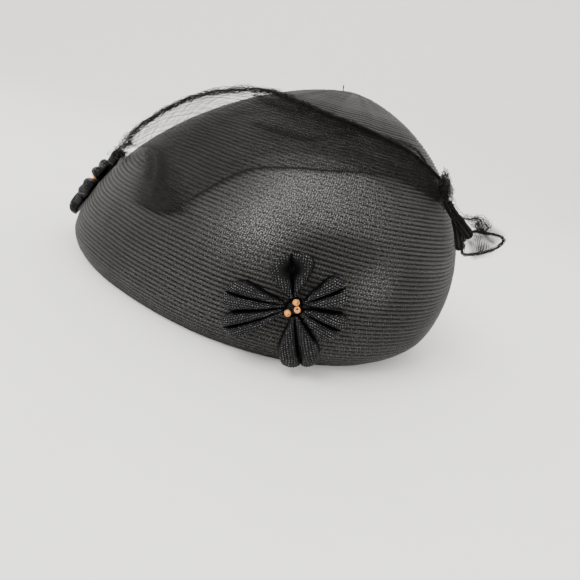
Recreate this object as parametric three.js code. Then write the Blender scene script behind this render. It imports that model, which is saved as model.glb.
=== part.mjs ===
// Pillbox hat: a rounded cap of black straw cloth, with a net veil drawn over its front
// and a flower of folded straw braid at the front and at the left end.
// Millimetres and degrees, +X to the wearer's left, +Y to the back of the head, +Z up.
// The hat stands on its hem, with the origin on the floor under the middle of the whole.
import * as THREE from 'three';
import { mergeVertices } from 'three/addons/utils/BufferGeometryUtils.js';

// Crown
const crownHalfLength = 112;
const crownHalfDepth = 102;
const crownRise = 109;
const hemDrop = 13.5;
const hemAngle = 100;
const hemPull = 7;
const strawWall = 2;
const tipAcross = 32.6;
const tipForward = 22.6;

// The profile is a rounded cone, fuller at the back: the larger the power, the straighter the flank
const flankPower = 1.21;
const backFlankPower = 1.02;
const shoulderPower = 1.15;
const hemPower = 1.74;
const backTurn = 8;

// Soft corners of the widest outline, as shares of its radius
const outlineWaves = [
  { count: 2, share: 0.072, peak: -45.8 },
  { count: 3, share: 0.033, peak: -51.7 },
];
const crownSides = 56;
const crownRows = 14;

// Room between a piece and the one that carries it
const seat = 0.45;

// Flowers
const petalThickness = 6.4;
const petalBaseThickness = 1.2;
const petalRoot = 4.4;
const petalRoom = 0.5;
const petalSwell = 1.2;
const creaseDepth = 0.5;
const creaseWidth = 0.3;
const petalStations = 9;
const petalSides = 12;
const heartRadius = 3.4;
const heartHeight = 4.6;
const heartSides = 10;
const heartProfile = [
  { radius: 1, height: 0 },
  { radius: 1, height: 0.55 },
  { radius: 0.62, height: 0.9 },
];
const beadRadius = 1.4;
const beadGap = 0.3;
const beadSink = 0.25;
const beadSides = 10;
const beadRings = 7;
const frontFlower = { fromTip: 76.6, turn: -76.3 };
const sideFlower = { fromTip: 75, turn: -180 };

// One row for each petal: its direction, its length and half width, and how far its tip curls up
const petalLength = 29;
const petalHalfWidth = 8.4;
const petalCurl = 7;
const petals = [
  { name: 'top', turn: 118, length: 0.78, width: 1.04, curl: 1.0 },
  { name: 'left', turn: 185, length: 1.0, width: 0.84, curl: 0.25 },
  { name: 'lower_left', turn: 222, length: 1.02, width: 0.86, curl: 0.3 },
  { name: 'bottom', turn: 298, length: 1.14, width: 1.0, curl: 0.4 },
  { name: 'lower_right', turn: 346, length: 0.8, width: 0.86, curl: 0.2 },
  { name: 'right', turn: 41, length: 0.7, width: 0.86, curl: 0.5 },
];

// Half width and thickness of a petal along its length, as shares of the largest
const petalForm = [
  { along: 0, width: 0.16, thick: 0.5 },
  { along: 0.14, width: 0.36, thick: 0.7 },
  { along: 0.32, width: 0.64, thick: 0.92 },
  { along: 0.52, width: 0.9, thick: 1.0 },
  { along: 0.7, width: 1.0, thick: 0.98 },
  { along: 0.84, width: 0.9, thick: 0.84 },
  { along: 0.93, width: 0.68, thick: 0.64 },
  { along: 0.98, width: 0.4, thick: 0.4 },
  { along: 1.0, width: 0.16, thick: 0.22 },
];

// Beads on the heart of a flower: direction and distance as a share of the heart's radius
const beads = [
  { turn: 96, reach: 0.86 },
  { turn: 14, reach: 0.42 },
  { turn: 238, reach: 0.74 },
];

// Net veil
const netThickness = 0.6;
const archRise = 8;
const pleatRise = 1.5;
const pleatCount = 3;
const netMeshesAlong = 19;
const netMeshesAcross = 6;
const netBarShare = 0.34;

// One row for each station of the veil, from the gather at the left end to the knot at the right:
// the lower and the upper border in degrees from the tip and round the crown, how many degrees
// the net between them bows up, and how far the upper border floats free as a share of archRise
const veilStations = [
  { lowTip: 64.4, lowTurn: -116, highTip: 62, highTurn: -164, bow: 7.5, rise: 0.6 },
  { lowTip: 60, lowTurn: -114, highTip: 55, highTurn: -167, bow: 6, rise: 0.9 },
  { lowTip: 54, lowTurn: -110, highTip: 46, highTurn: -168, bow: 4, rise: 1.0 },
  { lowTip: 50, lowTurn: -105, highTip: 36, highTurn: -166, bow: 2, rise: 0.9 },
  { lowTip: 47, lowTurn: -95, highTip: 25, highTurn: -154, bow: 0, rise: 0.4 },
  { lowTip: 45, lowTurn: -84, highTip: 24, highTurn: -118, bow: 0, rise: 0 },
  { lowTip: 43, lowTurn: -73, highTip: 28, highTurn: -90, bow: 0, rise: 0 },
  { lowTip: 42, lowTurn: -64, highTip: 30.5, highTurn: -71, bow: 0, rise: 0 },
  { lowTip: 42.6, lowTurn: -56, highTip: 33.5, highTurn: -54, bow: 0, rise: 0 },
  { lowTip: 44.6, lowTurn: -49, highTip: 40.2, highTurn: -42.5, bow: 0, rise: 0 },
];

// Gather at the veil's left end: half width and height along it, from its foot to its top
const gatherHalfWidth = 5.4;
const gatherHeight = 4.6;
const gatherRuffle = 0.16;
const gatherStations = 12;
const gatherSides = 10;
const gatherForm = [
  { along: 0, width: 0.3, height: 0.3 },
  { along: 0.08, width: 0.95, height: 0.85 },
  { along: 0.2, width: 1.0, height: 1.0 },
  { along: 0.4, width: 0.72, height: 0.8 },
  { along: 0.6, width: 0.6, height: 0.62 },
  { along: 0.8, width: 0.66, height: 0.7 },
  { along: 0.94, width: 0.5, height: 0.6 },
  { along: 1.0, width: 0.2, height: 0.3 },
];

// Crumpled ends of the veil
const tuftRadius = 6.5;
const tuftLift = 6.9;
const tuftStretch = 1.1;
const tuftPlace = { fromTip: 62.5, turn: -168.4 };
const knotRadius = 4.6;
const knotLift = 4.9;
const knotStretch = 0.95;
const knotPlace = { fromTip: 44.7, turn: -41.5 };
const crumpleShare = 0.16;
const crumpleDepth = 0.85;
const crumpleFolds = 3;
const crumpleSides = 12;
const crumpleRows = 6;

// Tail of net hanging from the knot: rays across its fan, each with its direction below the
// tailAcross line, its length as a share of tailReach and its fold as a share of tailFold
const tailReach = 38;
const tailFold = 2.6;
const tailThickness = 0.8;
const tailRays = [
  { turn: 76, length: 0.7, fold: 0.3 },
  { turn: 69, length: 0.84, fold: -0.7 },
  { turn: 61, length: 0.88, fold: 0.8 },
  { turn: 52, length: 0.94, fold: -0.6 },
  { turn: 44, length: 1.0, fold: 0.7 },
  { turn: 37, length: 0.97, fold: -0.8 },
  { turn: 29, length: 0.66, fold: 0.6 },
  { turn: 20, length: 0.4, fold: -0.2 },
];
const tailSteps = 5;
const tailAcross = { turn: 7, rise: 14 };
const tailHang = { turn: -52, rise: -64 };

// Colours and finishes
const strawFinish = { color: 0x33343a, roughness: 0.62, metalness: 0 };
const braidFinish = { color: 0x1b1b1f, roughness: 0.7, metalness: 0 };
const netFinish = { color: 0x141416, roughness: 0.8, metalness: 0 };
const beadFinish = { color: 0xd08a3c, roughness: 0.35, metalness: 0.3 };

const QUARTER = 90;
const FULL_TURN = 360;
const RAD = Math.PI / 180;
const mergeReach = 1e-5;

function lerp(a, b, share) {
  return a + (b - a) * share;
}

// Value of a table's column at a place along it, between its rows
function tableValue(table, column, along) {
  const last = table.length - 1;
  const at = table.findIndex((row) => row.along >= along);
  const high = at < 0 ? last : Math.max(at, 1);
  const span = table[high].along - table[high - 1].along;
  const share = Math.min(Math.max((along - table[high - 1].along) / span, 0), 1);
  return lerp(table[high - 1][column], table[high][column], share);
}

// Smooth value of a column whose rows are evenly spaced, for a share from 0 to 1
function smoothValue(table, column, share) {
  const place = Math.min(Math.max(share, 0), 1) * (table.length - 1);
  const low = Math.min(Math.floor(place), table.length - 2);
  const t = place - low;
  const pick = (index) => table[Math.min(Math.max(index, 0), table.length - 1)][column];
  const [before, from, to, after] = [pick(low - 1), pick(low), pick(low + 1), pick(low + 2)];
  const bend = 2 * before - 5 * from + 4 * to - after;
  const twist = 3 * (from - to) + after - before;
  return from + 0.5 * t * (to - before + t * (bend + t * twist));
}

// Radius of the outline against an ellipse, in one direction round the crown
function outlineShare(turn) {
  const swell = outlineWaves.map((wave) => wave.share * Math.cos(wave.count * (turn - wave.peak) * RAD));
  return 1 + swell.reduce((sum, share) => sum + share, 0);
}

// Point of the crown: fromTip runs from 0 at the tip over 90 at the widest level to hemAngle at the hem
function crownPoint(fromTip, turn, inset = 0) {
  const rising = Math.min(fromTip, QUARTER) * RAD;
  const falling = Math.max(fromTip - QUARTER, 0) / (hemAngle - QUARTER);
  const pull = (hemPull / crownHalfLength) * falling ** hemPower;
  const backness = Math.max(Math.sin((turn - backTurn) * RAD), 0) ** 2;
  const spread = Math.sin(rising) ** lerp(flankPower, backFlankPower, backness) - pull;
  const rise = (crownRise - inset) * Math.max(Math.cos(rising), 0) ** shoulderPower;
  const z = falling > 0 ? -hemDrop * falling : rise;
  const lean = z / crownRise;
  const share = spread * outlineShare(turn);
  return new THREE.Vector3(
    (crownHalfLength - inset) * share * Math.cos(turn * RAD) + tipAcross * lean,
    (crownHalfDepth - inset) * share * Math.sin(turn * RAD) - tipForward * lean,
    z,
  );
}

// Outward direction of the crown's cloth
function crownNormal(fromTip, turn) {
  const step = 0.5;
  const middle = Math.min(Math.max(fromTip, 1), hemAngle - step);
  const down = crownPoint(middle + step, turn).sub(crownPoint(middle - step, turn));
  const round = crownPoint(middle, turn + step).sub(crownPoint(middle, turn - step));
  return down.cross(round).normalize();
}

// Point that stands off the crown by a distance along its outward direction
function offCrown(fromTip, turn, distance) {
  return crownPoint(fromTip, turn).addScaledVector(crownNormal(fromTip, turn), distance);
}

// Patch of the crown round a place, measured in millimetres across and up
function patch(place) {
  const step = 1;
  const { fromTip, turn } = place;
  const perDown = crownPoint(fromTip + step, turn).distanceTo(crownPoint(fromTip, turn)) / step;
  const perRound = crownPoint(fromTip, turn + step).distanceTo(crownPoint(fromTip, turn)) / step;
  return (across, up, off) =>
    offCrown(Math.min(fromTip - up / perDown, hemAngle), turn + across / perRound, off);
}

// Geometry of a triangle list over a list of points
function geometryOf(points, triangles) {
  const geometry = new THREE.BufferGeometry();
  geometry.setAttribute('position', new THREE.Float32BufferAttribute(points.flatMap((p) => p.toArray()), 3));
  geometry.setIndex(triangles);
  return mergeVertices(geometry, mergeReach);
}

// Closed solid through rings of equal count, with a fan onto a point at each end.
// Looked at from the last ring back to the first, each ring runs clockwise.
function skinRings(start, rings, end) {
  const sides = rings[0].length;
  const points = [start, ...rings.flat(), end];
  const at = (ring, side) => 1 + ring * sides + (side % sides);
  const triangles = [];
  for (let side = 0; side < sides; side += 1) {
    triangles.push(0, at(0, side), at(0, side + 1));
    for (let ring = 0; ring + 1 < rings.length; ring += 1) {
      triangles.push(at(ring, side), at(ring + 1, side), at(ring + 1, side + 1));
      triangles.push(at(ring, side), at(ring + 1, side + 1), at(ring, side + 1));
    }
    triangles.push(at(rings.length - 1, side + 1), at(rings.length - 1, side), points.length - 1);
  }
  return geometryOf(points, triangles);
}

// Middle of a ring of points
function middleOf(ring) {
  return ring.reduce((sum, point) => sum.add(point), new THREE.Vector3()).divideScalar(ring.length);
}

// Sheet between a top and an under side, on a grid of cells of which some are left open
function skinCells(topPoint, underPoint, columns, rows, isOpen) {
  const stride = rows + 1;
  const count = (columns + 1) * stride;
  const points = [];
  for (const side of [topPoint, underPoint]) {
    for (let column = 0; column <= columns; column += 1) {
      for (let row = 0; row <= rows; row += 1) {
        points.push(side(column, row));
      }
    }
  }
  const solid = (column, row) =>
    column >= 0 && row >= 0 && column < columns && row < rows && !isOpen(column, row);
  const triangles = [];
  const quad = (a, b, c, d) => triangles.push(a, b, c, a, c, d);
  for (let column = 0; column < columns; column += 1) {
    for (let row = 0; row < rows; row += 1) {
      if (!solid(column, row)) continue;
      const a = column * stride + row;
      const [b, c, d] = [a + stride, a + stride + 1, a + 1];
      quad(a, b, c, d);
      quad(d + count, c + count, b + count, a + count);
      if (!solid(column, row - 1)) quad(b, a, a + count, b + count);
      if (!solid(column + 1, row)) quad(c, b, b + count, c + count);
      if (!solid(column, row + 1)) quad(d, c, c + count, d + count);
      if (!solid(column - 1, row)) quad(a, d, d + count, a + count);
    }
  }
  return geometryOf(points, triangles);
}

// Crown: the outer skin down to the hem and the inner skin back up to the tip
function crownGeometry() {
  const turnAt = (side) => (side * FULL_TURN) / crownSides;
  const ringAt = (fromTip, inset) =>
    Array.from({ length: crownSides }, (_, side) => crownPoint(fromTip, turnAt(side), inset));
  const angles = Array.from({ length: crownRows }, (_, row) => (QUARTER * (row + 1)) / crownRows);
  const outer = [...angles, (QUARTER + hemAngle) / 2, hemAngle].map((angle) => ringAt(angle, 0));
  const inner = [...angles, (QUARTER + hemAngle) / 2, hemAngle].map((angle) => ringAt(angle, strawWall));
  return skinRings(crownPoint(0, 0), [...outer, ...inner.reverse()], crownPoint(0, 0, strawWall));
}

// Half the angle between a petal and its nearer neighbour
function halfSpacing(index) {
  const gaps = [1, petals.length - 1].map((step) => {
    const other = petals[(index + step) % petals.length];
    const turned = Math.abs(other.turn - petals[index].turn) % FULL_TURN;
    return Math.min(turned, FULL_TURN - turned);
  });
  return Math.min(...gaps) / 2;
}

// Petal: a loop of braid folded into two rounded lobes with a crease between them
function petalGeometry(place, index) {
  const petal = petals[index];
  const onPatch = patch(place);
  const length = petalLength * petal.length;
  const direction = { x: Math.cos(petal.turn * RAD), y: Math.sin(petal.turn * RAD) };
  const pointAt = (reach, side, off) =>
    onPatch(reach * direction.x - side * direction.y, reach * direction.y + side * direction.x, off);
  const rings = Array.from({ length: petalStations }, (_, station) => {
    const along = station / (petalStations - 1);
    const reach = petalRoot + (length - petalRoot) * Math.sin(along * QUARTER * RAD) ** petalSwell;
    const share = (reach - petalRoot) / (length - petalRoot);
    const room = reach * Math.sin(halfSpacing(index) * RAD) - petalRoom / 2;
    const half = Math.min(petalHalfWidth * petal.width * tableValue(petalForm, 'width', share), room);
    const thick = petalThickness * tableValue(petalForm, 'thick', share);
    const lift = seat + petalCurl * petal.curl * share * share;
    return Array.from({ length: petalSides }, (_, side) => {
      const angle = -(side / petalSides) * 2 * Math.PI;
      const crosswise = Math.cos(angle);
      const crease = 1 - creaseDepth * Math.exp(-((crosswise / creaseWidth) ** 2));
      const height = Math.sin(angle) > 0
        ? petalBaseThickness / 2 + (thick - petalBaseThickness / 2) * Math.sin(angle) * crease
        : (petalBaseThickness / 2) * (1 + Math.sin(angle));
      return pointAt(reach, half * crosswise, lift + height);
    });
  });
  return skinRings(middleOf(rings[0]), rings, middleOf(rings.at(-1)));
}

// Heart: the low sewn boss in the middle of a flower, which carries its beads
function heartGeometry(place) {
  const onPatch = patch(place);
  const rings = heartProfile.map(({ radius, height }) =>
    Array.from({ length: heartSides }, (_, side) => {
      const angle = -(side / heartSides) * 2 * Math.PI;
      const reach = heartRadius * radius;
      return onPatch(reach * Math.cos(angle), reach * Math.sin(angle), seat + heartHeight * height);
    }),
  );
  return skinRings(onPatch(0, 0, seat), rings, onPatch(0, 0, seat + heartHeight));
}

// Bead: a small ball seated on the heart
function beadMesh(name, place, bead) {
  const reach = heartRadius * bead.reach;
  const onPatch = patch(place);
  const dome = heartHeight * (1 - beadSink * bead.reach ** 2);
  const centre = onPatch(
    reach * Math.cos(bead.turn * RAD),
    reach * Math.sin(bead.turn * RAD),
    seat + dome + beadGap + beadRadius,
  );
  const ball = new THREE.SphereGeometry(beadRadius, beadSides, beadRings);
  ball.deleteAttribute('normal');
  ball.deleteAttribute('uv');
  const mesh = new THREE.Mesh(mergeVertices(ball, mergeReach), new THREE.MeshStandardMaterial(beadFinish));
  mesh.name = name;
  mesh.position.copy(centre);
  return mesh;
}

function meshOf(name, geometry, finish) {
  const mesh = new THREE.Mesh(geometry, new THREE.MeshStandardMaterial(finish));
  mesh.name = name;
  return mesh;
}

// Flower: its heart, petals and beads, at one place on the crown
function flower(prefix, place) {
  const group = new THREE.Group();
  group.add(meshOf(`${prefix}_heart`, heartGeometry(place), braidFinish));
  petals.forEach((petal, index) => {
    group.add(meshOf(`${prefix}_petal_${petal.name}`, petalGeometry(place, index), braidFinish));
  });
  beads.forEach((bead, index) => {
    group.add(beadMesh(`${prefix}_bead_${index + 1}`, place, bead));
  });
  return group;
}

// Place of the veil: along runs from the gather to the knot and across from the lower border to the upper
function veilPoint(along, across, off) {
  const column = (name) => smoothValue(veilStations, name, along);
  const bow = column('bow') * Math.sin(Math.PI * across);
  const fromTip = lerp(column('lowTip'), column('highTip'), across) - bow;
  const turn = lerp(column('lowTurn'), column('highTurn'), across);
  const free = archRise * Math.max(column('rise'), 0) * across ** 2;
  const drawn = Math.sin(Math.PI * along) ** 2;
  const pleat = pleatRise * drawn * (1 - Math.cos(2 * Math.PI * pleatCount * across)) / 2;
  return offCrown(fromTip, turn, off + free + pleat);
}

// Veil: a net sheet pierced by rows of meshes
function veilGeometry() {
  const columns = 2 * netMeshesAlong + 1;
  const rows = 2 * netMeshesAcross + 1;
  const lineShare = (index, meshes) => {
    const cell = 1 / (meshes + netBarShare);
    const whole = Math.floor(index / 2);
    return (whole + (index % 2) * netBarShare) * cell;
  };
  const pointAt = (off) => (column, row) =>
    veilPoint(lineShare(column, netMeshesAlong), lineShare(row, netMeshesAcross), off);
  const isOpen = (column, row) => column % 2 === 1 && row % 2 === 1;
  return skinCells(pointAt(seat + netThickness), pointAt(seat), columns, rows, isOpen);
}

// Gather: the bunched net that is sewn down along the veil's left end
function gatherGeometry() {
  const first = veilStations[0];
  const from = { fromTip: first.lowTip, turn: first.lowTurn };
  const to = { fromTip: first.highTip, turn: first.highTurn };
  const perDegree = patchScale(from);
  const rings = Array.from({ length: gatherStations }, (_, station) => {
    const along = station / (gatherStations - 1);
    const half = gatherHalfWidth * tableValue(gatherForm, 'width', along);
    const ruffle = 1 + gatherRuffle * Math.cos(station * Math.PI);
    const height = gatherHeight * tableValue(gatherForm, 'height', along) * ruffle;
    const edge = lerp(from.fromTip, to.fromTip, along) - first.bow * Math.sin(Math.PI * along);
    const middle = edge + (half + 2 * seat) / perDegree;
    const turn = lerp(from.turn, to.turn, along);
    return Array.from({ length: gatherSides }, (_, side) => {
      const angle = (side / gatherSides) * 2 * Math.PI;
      const off = seat + (height / 2) * (1 + Math.sin(angle));
      return offCrown(middle - (half * Math.cos(angle)) / perDegree, turn, off);
    });
  });
  return skinRings(middleOf(rings[0]), rings, middleOf(rings.at(-1)));
}

// Millimetres down the crown for one degree from the tip
function patchScale(place) {
  return crownPoint(place.fromTip + 1, place.turn).distanceTo(crownPoint(place.fromTip, place.turn));
}

// Crumple: a ball of bunched net with folds round it
function crumpleGeometry(place, radius, lift, stretch) {
  const normal = crownNormal(place.fromTip, place.turn);
  const centre = offCrown(place.fromTip, place.turn, lift);
  const round = new THREE.Vector3(0, 0, 1).cross(normal).normalize();
  const up = normal.clone().cross(round);
  const pointAt = (row, side) => {
    const polar = (row / (crumpleRows + 1)) * Math.PI;
    const angle = -(side / crumpleSides) * 2 * Math.PI;
    const swell = radius * (1 + crumpleShare * Math.cos(crumpleFolds * angle + 2 * polar));
    return centre
      .clone()
      .addScaledVector(round, swell * stretch * Math.sin(polar) * Math.cos(angle))
      .addScaledVector(up, swell * Math.sin(polar) * Math.sin(angle))
      .addScaledVector(normal, -swell * crumpleDepth * Math.cos(polar));
  };
  const rings = Array.from({ length: crumpleRows }, (_, row) =>
    Array.from({ length: crumpleSides }, (_, side) => pointAt(row + 1, side)),
  );
  return skinRings(pointAt(0, 0), rings, pointAt(crumpleRows + 1, 0));
}

// Direction with a turn round the vertical and a rise above the horizontal
function bearing({ turn, rise }) {
  const level = Math.cos(rise * RAD);
  return new THREE.Vector3(level * Math.cos(turn * RAD), level * Math.sin(turn * RAD), Math.sin(rise * RAD));
}

// Tail: a folded fan of net that hangs from the knot, clear of the crown
function tailGeometry() {
  const root = offCrown(knotPlace.fromTip, knotPlace.turn, knotLift);
  const across = bearing(tailAcross);
  const hang = bearing(tailHang);
  const outward = across.clone().cross(hang).normalize();
  const clear = knotRadius * (1 + crumpleShare / 2) + seat;
  const pointAt = (side) => (ray, step) => {
    const { turn, length, fold } = tailRays[ray];
    const share = step / tailSteps;
    const reach = lerp(clear, tailReach * length, share);
    const wave = tailFold * fold * share + side * tailThickness;
    return root
      .clone()
      .addScaledVector(across, reach * Math.cos(turn * RAD))
      .addScaledVector(hang, reach * Math.sin(turn * RAD))
      .addScaledVector(outward, wave);
  };
  return skinCells(pointAt(0.5), pointAt(-0.5), tailRays.length - 1, tailSteps, () => false);
}

// The whole hat
const hat = new THREE.Group();
hat.add(meshOf('crown', crownGeometry(), strawFinish));
hat.add(flower('front', frontFlower));
hat.add(flower('side', sideFlower));
hat.add(meshOf('veil_net', veilGeometry(), netFinish));
hat.add(meshOf('veil_gather', gatherGeometry(), netFinish));
hat.add(meshOf('veil_tuft', crumpleGeometry(tuftPlace, tuftRadius, tuftLift, tuftStretch), netFinish));
hat.add(meshOf('veil_knot', crumpleGeometry(knotPlace, knotRadius, knotLift, knotStretch), netFinish));
hat.add(meshOf('veil_tail', tailGeometry(), netFinish));

// Stand the hat on the floor with the origin under its middle
const bounds = new THREE.Box3().setFromObject(hat);
const middle = bounds.getCenter(new THREE.Vector3());
hat.position.set(-middle.x, -middle.y, -bounds.min.z);

export default hat;
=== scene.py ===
"""Pillbox hat of black straw cloth, with a net veil and two flowers of folded straw braid.

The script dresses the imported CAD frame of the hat. Lengths in the classes are millimetres and
angles are degrees; a mesh is turned to metres when it becomes a piece. A place on the crown is
a pair of angles: degrees down from the tip, and degrees round the crown from +X.
"""

import logging
import math
from collections.abc import Callable, Sequence
from dataclasses import dataclass, field
from enum import Enum
from typing import ClassVar, NamedTuple

import bpy
import numpy as np
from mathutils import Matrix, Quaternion, Vector


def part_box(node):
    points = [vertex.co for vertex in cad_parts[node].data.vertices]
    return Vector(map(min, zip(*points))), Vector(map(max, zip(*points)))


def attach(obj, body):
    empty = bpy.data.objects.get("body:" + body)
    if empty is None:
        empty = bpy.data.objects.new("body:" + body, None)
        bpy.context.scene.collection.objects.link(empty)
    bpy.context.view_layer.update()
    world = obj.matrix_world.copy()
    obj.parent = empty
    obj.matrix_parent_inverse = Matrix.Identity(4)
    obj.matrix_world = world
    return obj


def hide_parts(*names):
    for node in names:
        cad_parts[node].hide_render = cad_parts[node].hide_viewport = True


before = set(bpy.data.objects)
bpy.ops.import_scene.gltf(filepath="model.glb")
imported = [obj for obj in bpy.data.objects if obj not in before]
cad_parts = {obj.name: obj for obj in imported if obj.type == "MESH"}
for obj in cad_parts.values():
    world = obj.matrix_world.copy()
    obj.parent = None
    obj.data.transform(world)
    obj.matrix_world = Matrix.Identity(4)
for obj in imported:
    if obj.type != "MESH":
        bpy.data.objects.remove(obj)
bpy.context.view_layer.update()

LOG = logging.getLogger("pillbox_hat")
MM = 0.001
TURN = 2 * math.pi

# Degrees down from the crown's tip to its widest level and to its hem
WIDEST = 90.0
HEM = 100.0

# What a mesh carries for its finish: a UV map in millimetres, and a number at each point
PATTERN_MAP = "pattern"
TONE = "tone"

# Strength of every bump node, and the middle of a noise's values that a slow change runs over
BUMP_STRENGTH = 0.6
CLOUD_PLACE = (0.3, 0.7)

# Height of a fold, a net or a petal off the crown under it, as in the CAD source
SEAT = 0.45

# The least share of its flat size that sheet_area gives as a sheet's area
LEAST_SHARE = 0.31

Place = tuple[float, float]
Socket = bpy.types.NodeSocket
Tree = bpy.types.NodeTree
Colour = tuple[float, float, float, float]


def linear_rgba(code: int) -> Colour:
    """Turns an sRGB hex colour to linear red, green, blue and full alpha.

    Args:
        code: The colour as 0xRRGGBB.

    Returns:
        Four numbers from 0 to 1.
    """
    shares = [((code >> shift) & 255) / 255 for shift in (16, 8, 0)]
    linear = [s / 12.92 if s <= 0.04045 else ((s + 0.055) / 1.055) ** 2.4 for s in shares]
    return (*linear, 1.0)


def unit(vectors: np.ndarray) -> np.ndarray:
    """Scales vectors on the last axis to length one."""
    return vectors / np.maximum(np.linalg.norm(vectors, axis=-1, keepdims=True), 1e-12)


def hump(value: np.ndarray, middle: float, reach: float) -> np.ndarray:
    """Bell curve that is 1 at middle and falls off over reach."""
    return np.exp(-(((value - middle) / reach) ** 2))


def smooth_column(rows: Sequence[float], share: np.ndarray) -> np.ndarray:
    """Smooth value of evenly spaced rows, as the CAD source works it out.

    Args:
        rows: The values of a column, one for each row.
        share: Places along the rows, from 0 to 1.

    Returns:
        The column's value at each place.
    """
    values = np.asarray(rows, float)
    place = np.clip(share, 0, 1) * (len(values) - 1)
    low = np.minimum(np.floor(place), len(values) - 2).astype(int)
    t = place - low
    before, start, end, after = (values[np.clip(low + step, 0, len(values) - 1)] for step in (-1, 0, 1, 2))
    bend = 2 * before - 5 * start + 4 * end - after
    twist = 3 * (start - end) + after - before
    return start + 0.5 * t * (end - before + t * (bend + t * twist))


def smooth_rows(rows: Sequence[tuple[float, ...]], share: np.ndarray) -> list[np.ndarray]:
    """Smooth value of each column of a table, for shares from 0 to 1."""
    return [smooth_column(column, share) for column in zip(*rows)]


def strand_shares(strands: int, steps: int) -> np.ndarray:
    """Evenly spaced shares from 0 to 1 along each of several strands."""
    return np.broadcast_to(np.linspace(0, 1, steps), (strands, steps))


def round_turn(count: int, whole: float = TURN) -> np.ndarray:
    """Evenly spaced angles round a whole turn."""
    return whole * np.arange(count) / count


def gaps(points: np.ndarray, axis: int = 0) -> np.ndarray:
    """Distances between neighbouring points along an axis of a grid."""
    return np.linalg.norm(np.diff(points, axis=axis), axis=-1)


def running(steps: np.ndarray) -> np.ndarray:
    """Distances from the start, given the steps along the last axis."""
    return np.concatenate([np.zeros((*steps.shape[:-1], 1)), np.cumsum(steps, axis=-1)], axis=-1)


def wander(rng: np.random.Generator, share: np.ndarray, *waves: int) -> np.ndarray:
    """Uneven wave along each of several strands.

    Args:
        rng: Source of the strands' own starts.
        share: Places along the strands, from 0 to 1, one row for each.
        waves: How many waves of each kind a strand has.

    Returns:
        Values between -1 and 1, one row for each strand.
    """
    starts = rng.uniform(0, TURN, (len(waves), len(share), 1))
    return sum(np.sin(TURN * count * share + start) for count, start in zip(waves, starts)) / len(waves)


def sheet_area(points: np.ndarray, flat: tuple[float, float]) -> float:
    """Area in square metres of a sheet that may be folded, at most that of its flat size.

    Args:
        points: Grid of points in millimetres.
        flat: Width and length of the sheet laid flat.

    Returns:
        The area of the grid, held between the least share of the flat size and the whole.
    """
    along = np.diff(points, axis=0)[:, :-1]
    across = np.diff(points, axis=1)[:-1]
    area = float(np.linalg.norm(np.cross(along, across), axis=-1).sum())
    whole = flat[0] * flat[1]
    return min(max(area, LEAST_SHARE * whole), whole) * MM * MM


@dataclass
class Shape:
    """A mesh before it becomes a piece.

    Attributes:
        points: Points in millimetres.
        quads: Four point numbers for each face.
        pattern: Pattern coordinates in millimetres for the corners of each face.
        tone: A number for each point, which a finish may read.
        caps: Faces of any count that close the ends.
    """

    points: np.ndarray
    quads: np.ndarray
    pattern: np.ndarray
    tone: np.ndarray
    caps: list[list[int]] = field(default_factory=list)

    def close_ends(self, sides: int) -> None:
        """Closes the first and the last ring of a tube of rings."""
        last = len(self.points)
        self.caps = [list(range(sides)), list(range(last - 1, last - sides - 1, -1))]


def grid_shape(
    points: np.ndarray,
    pattern: np.ndarray,
    tone: np.ndarray | float = 0.0,
    wrapped: bool = False,
    closed: bool = False,
    flip: bool = False,
) -> Shape:
    """Makes a sheet or a tube of quads through a grid of points.

    Args:
        points: Grid of points, rows by columns by 3.
        pattern: Pattern coordinates, rows by columns by 2, with one more of each that joins round.
        tone: Tone of the points.
        wrapped: Whether the last column joins the first.
        closed: Whether the last row joins the first.
        flip: Whether the faces look the other way.

    Returns:
        The shape.
    """
    rows, columns = points.shape[:2]
    counts = (rows if closed else rows - 1, columns if wrapped else columns - 1)
    row, column = (number.ravel() for number in np.indices(counts))
    corners = [(row, column), (row + 1, column), (row + 1, column + 1), (row, column + 1)]
    if flip:
        corners.reverse()
    quads = np.stack([r % rows * columns + c % columns for r, c in corners], axis=1)
    corner_pattern = np.stack([pattern[r, c] for r, c in corners], axis=1)
    tones = np.broadcast_to(tone, (rows, columns)).ravel()
    return Shape(points.reshape(-1, 3), quads, corner_pattern, tones)


def grid_pattern(across: np.ndarray, along: np.ndarray) -> np.ndarray:
    """Puts two grids of millimetres together as pattern coordinates."""
    return np.stack(np.broadcast_arrays(across, along), axis=-1)


def join_shapes(shapes: Sequence[Shape]) -> Shape:
    """Joins shapes into one."""
    starts = np.cumsum([0] + [len(s.points) for s in shapes])
    return Shape(
        np.concatenate([s.points for s in shapes]),
        np.concatenate([s.quads + start for s, start in zip(shapes, starts)]),
        np.concatenate([s.pattern for s in shapes]),
        np.concatenate([s.tone for s in shapes]),
        [[i + int(start) for i in cap] for s, start in zip(shapes, starts) for cap in s.caps],
    )


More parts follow.
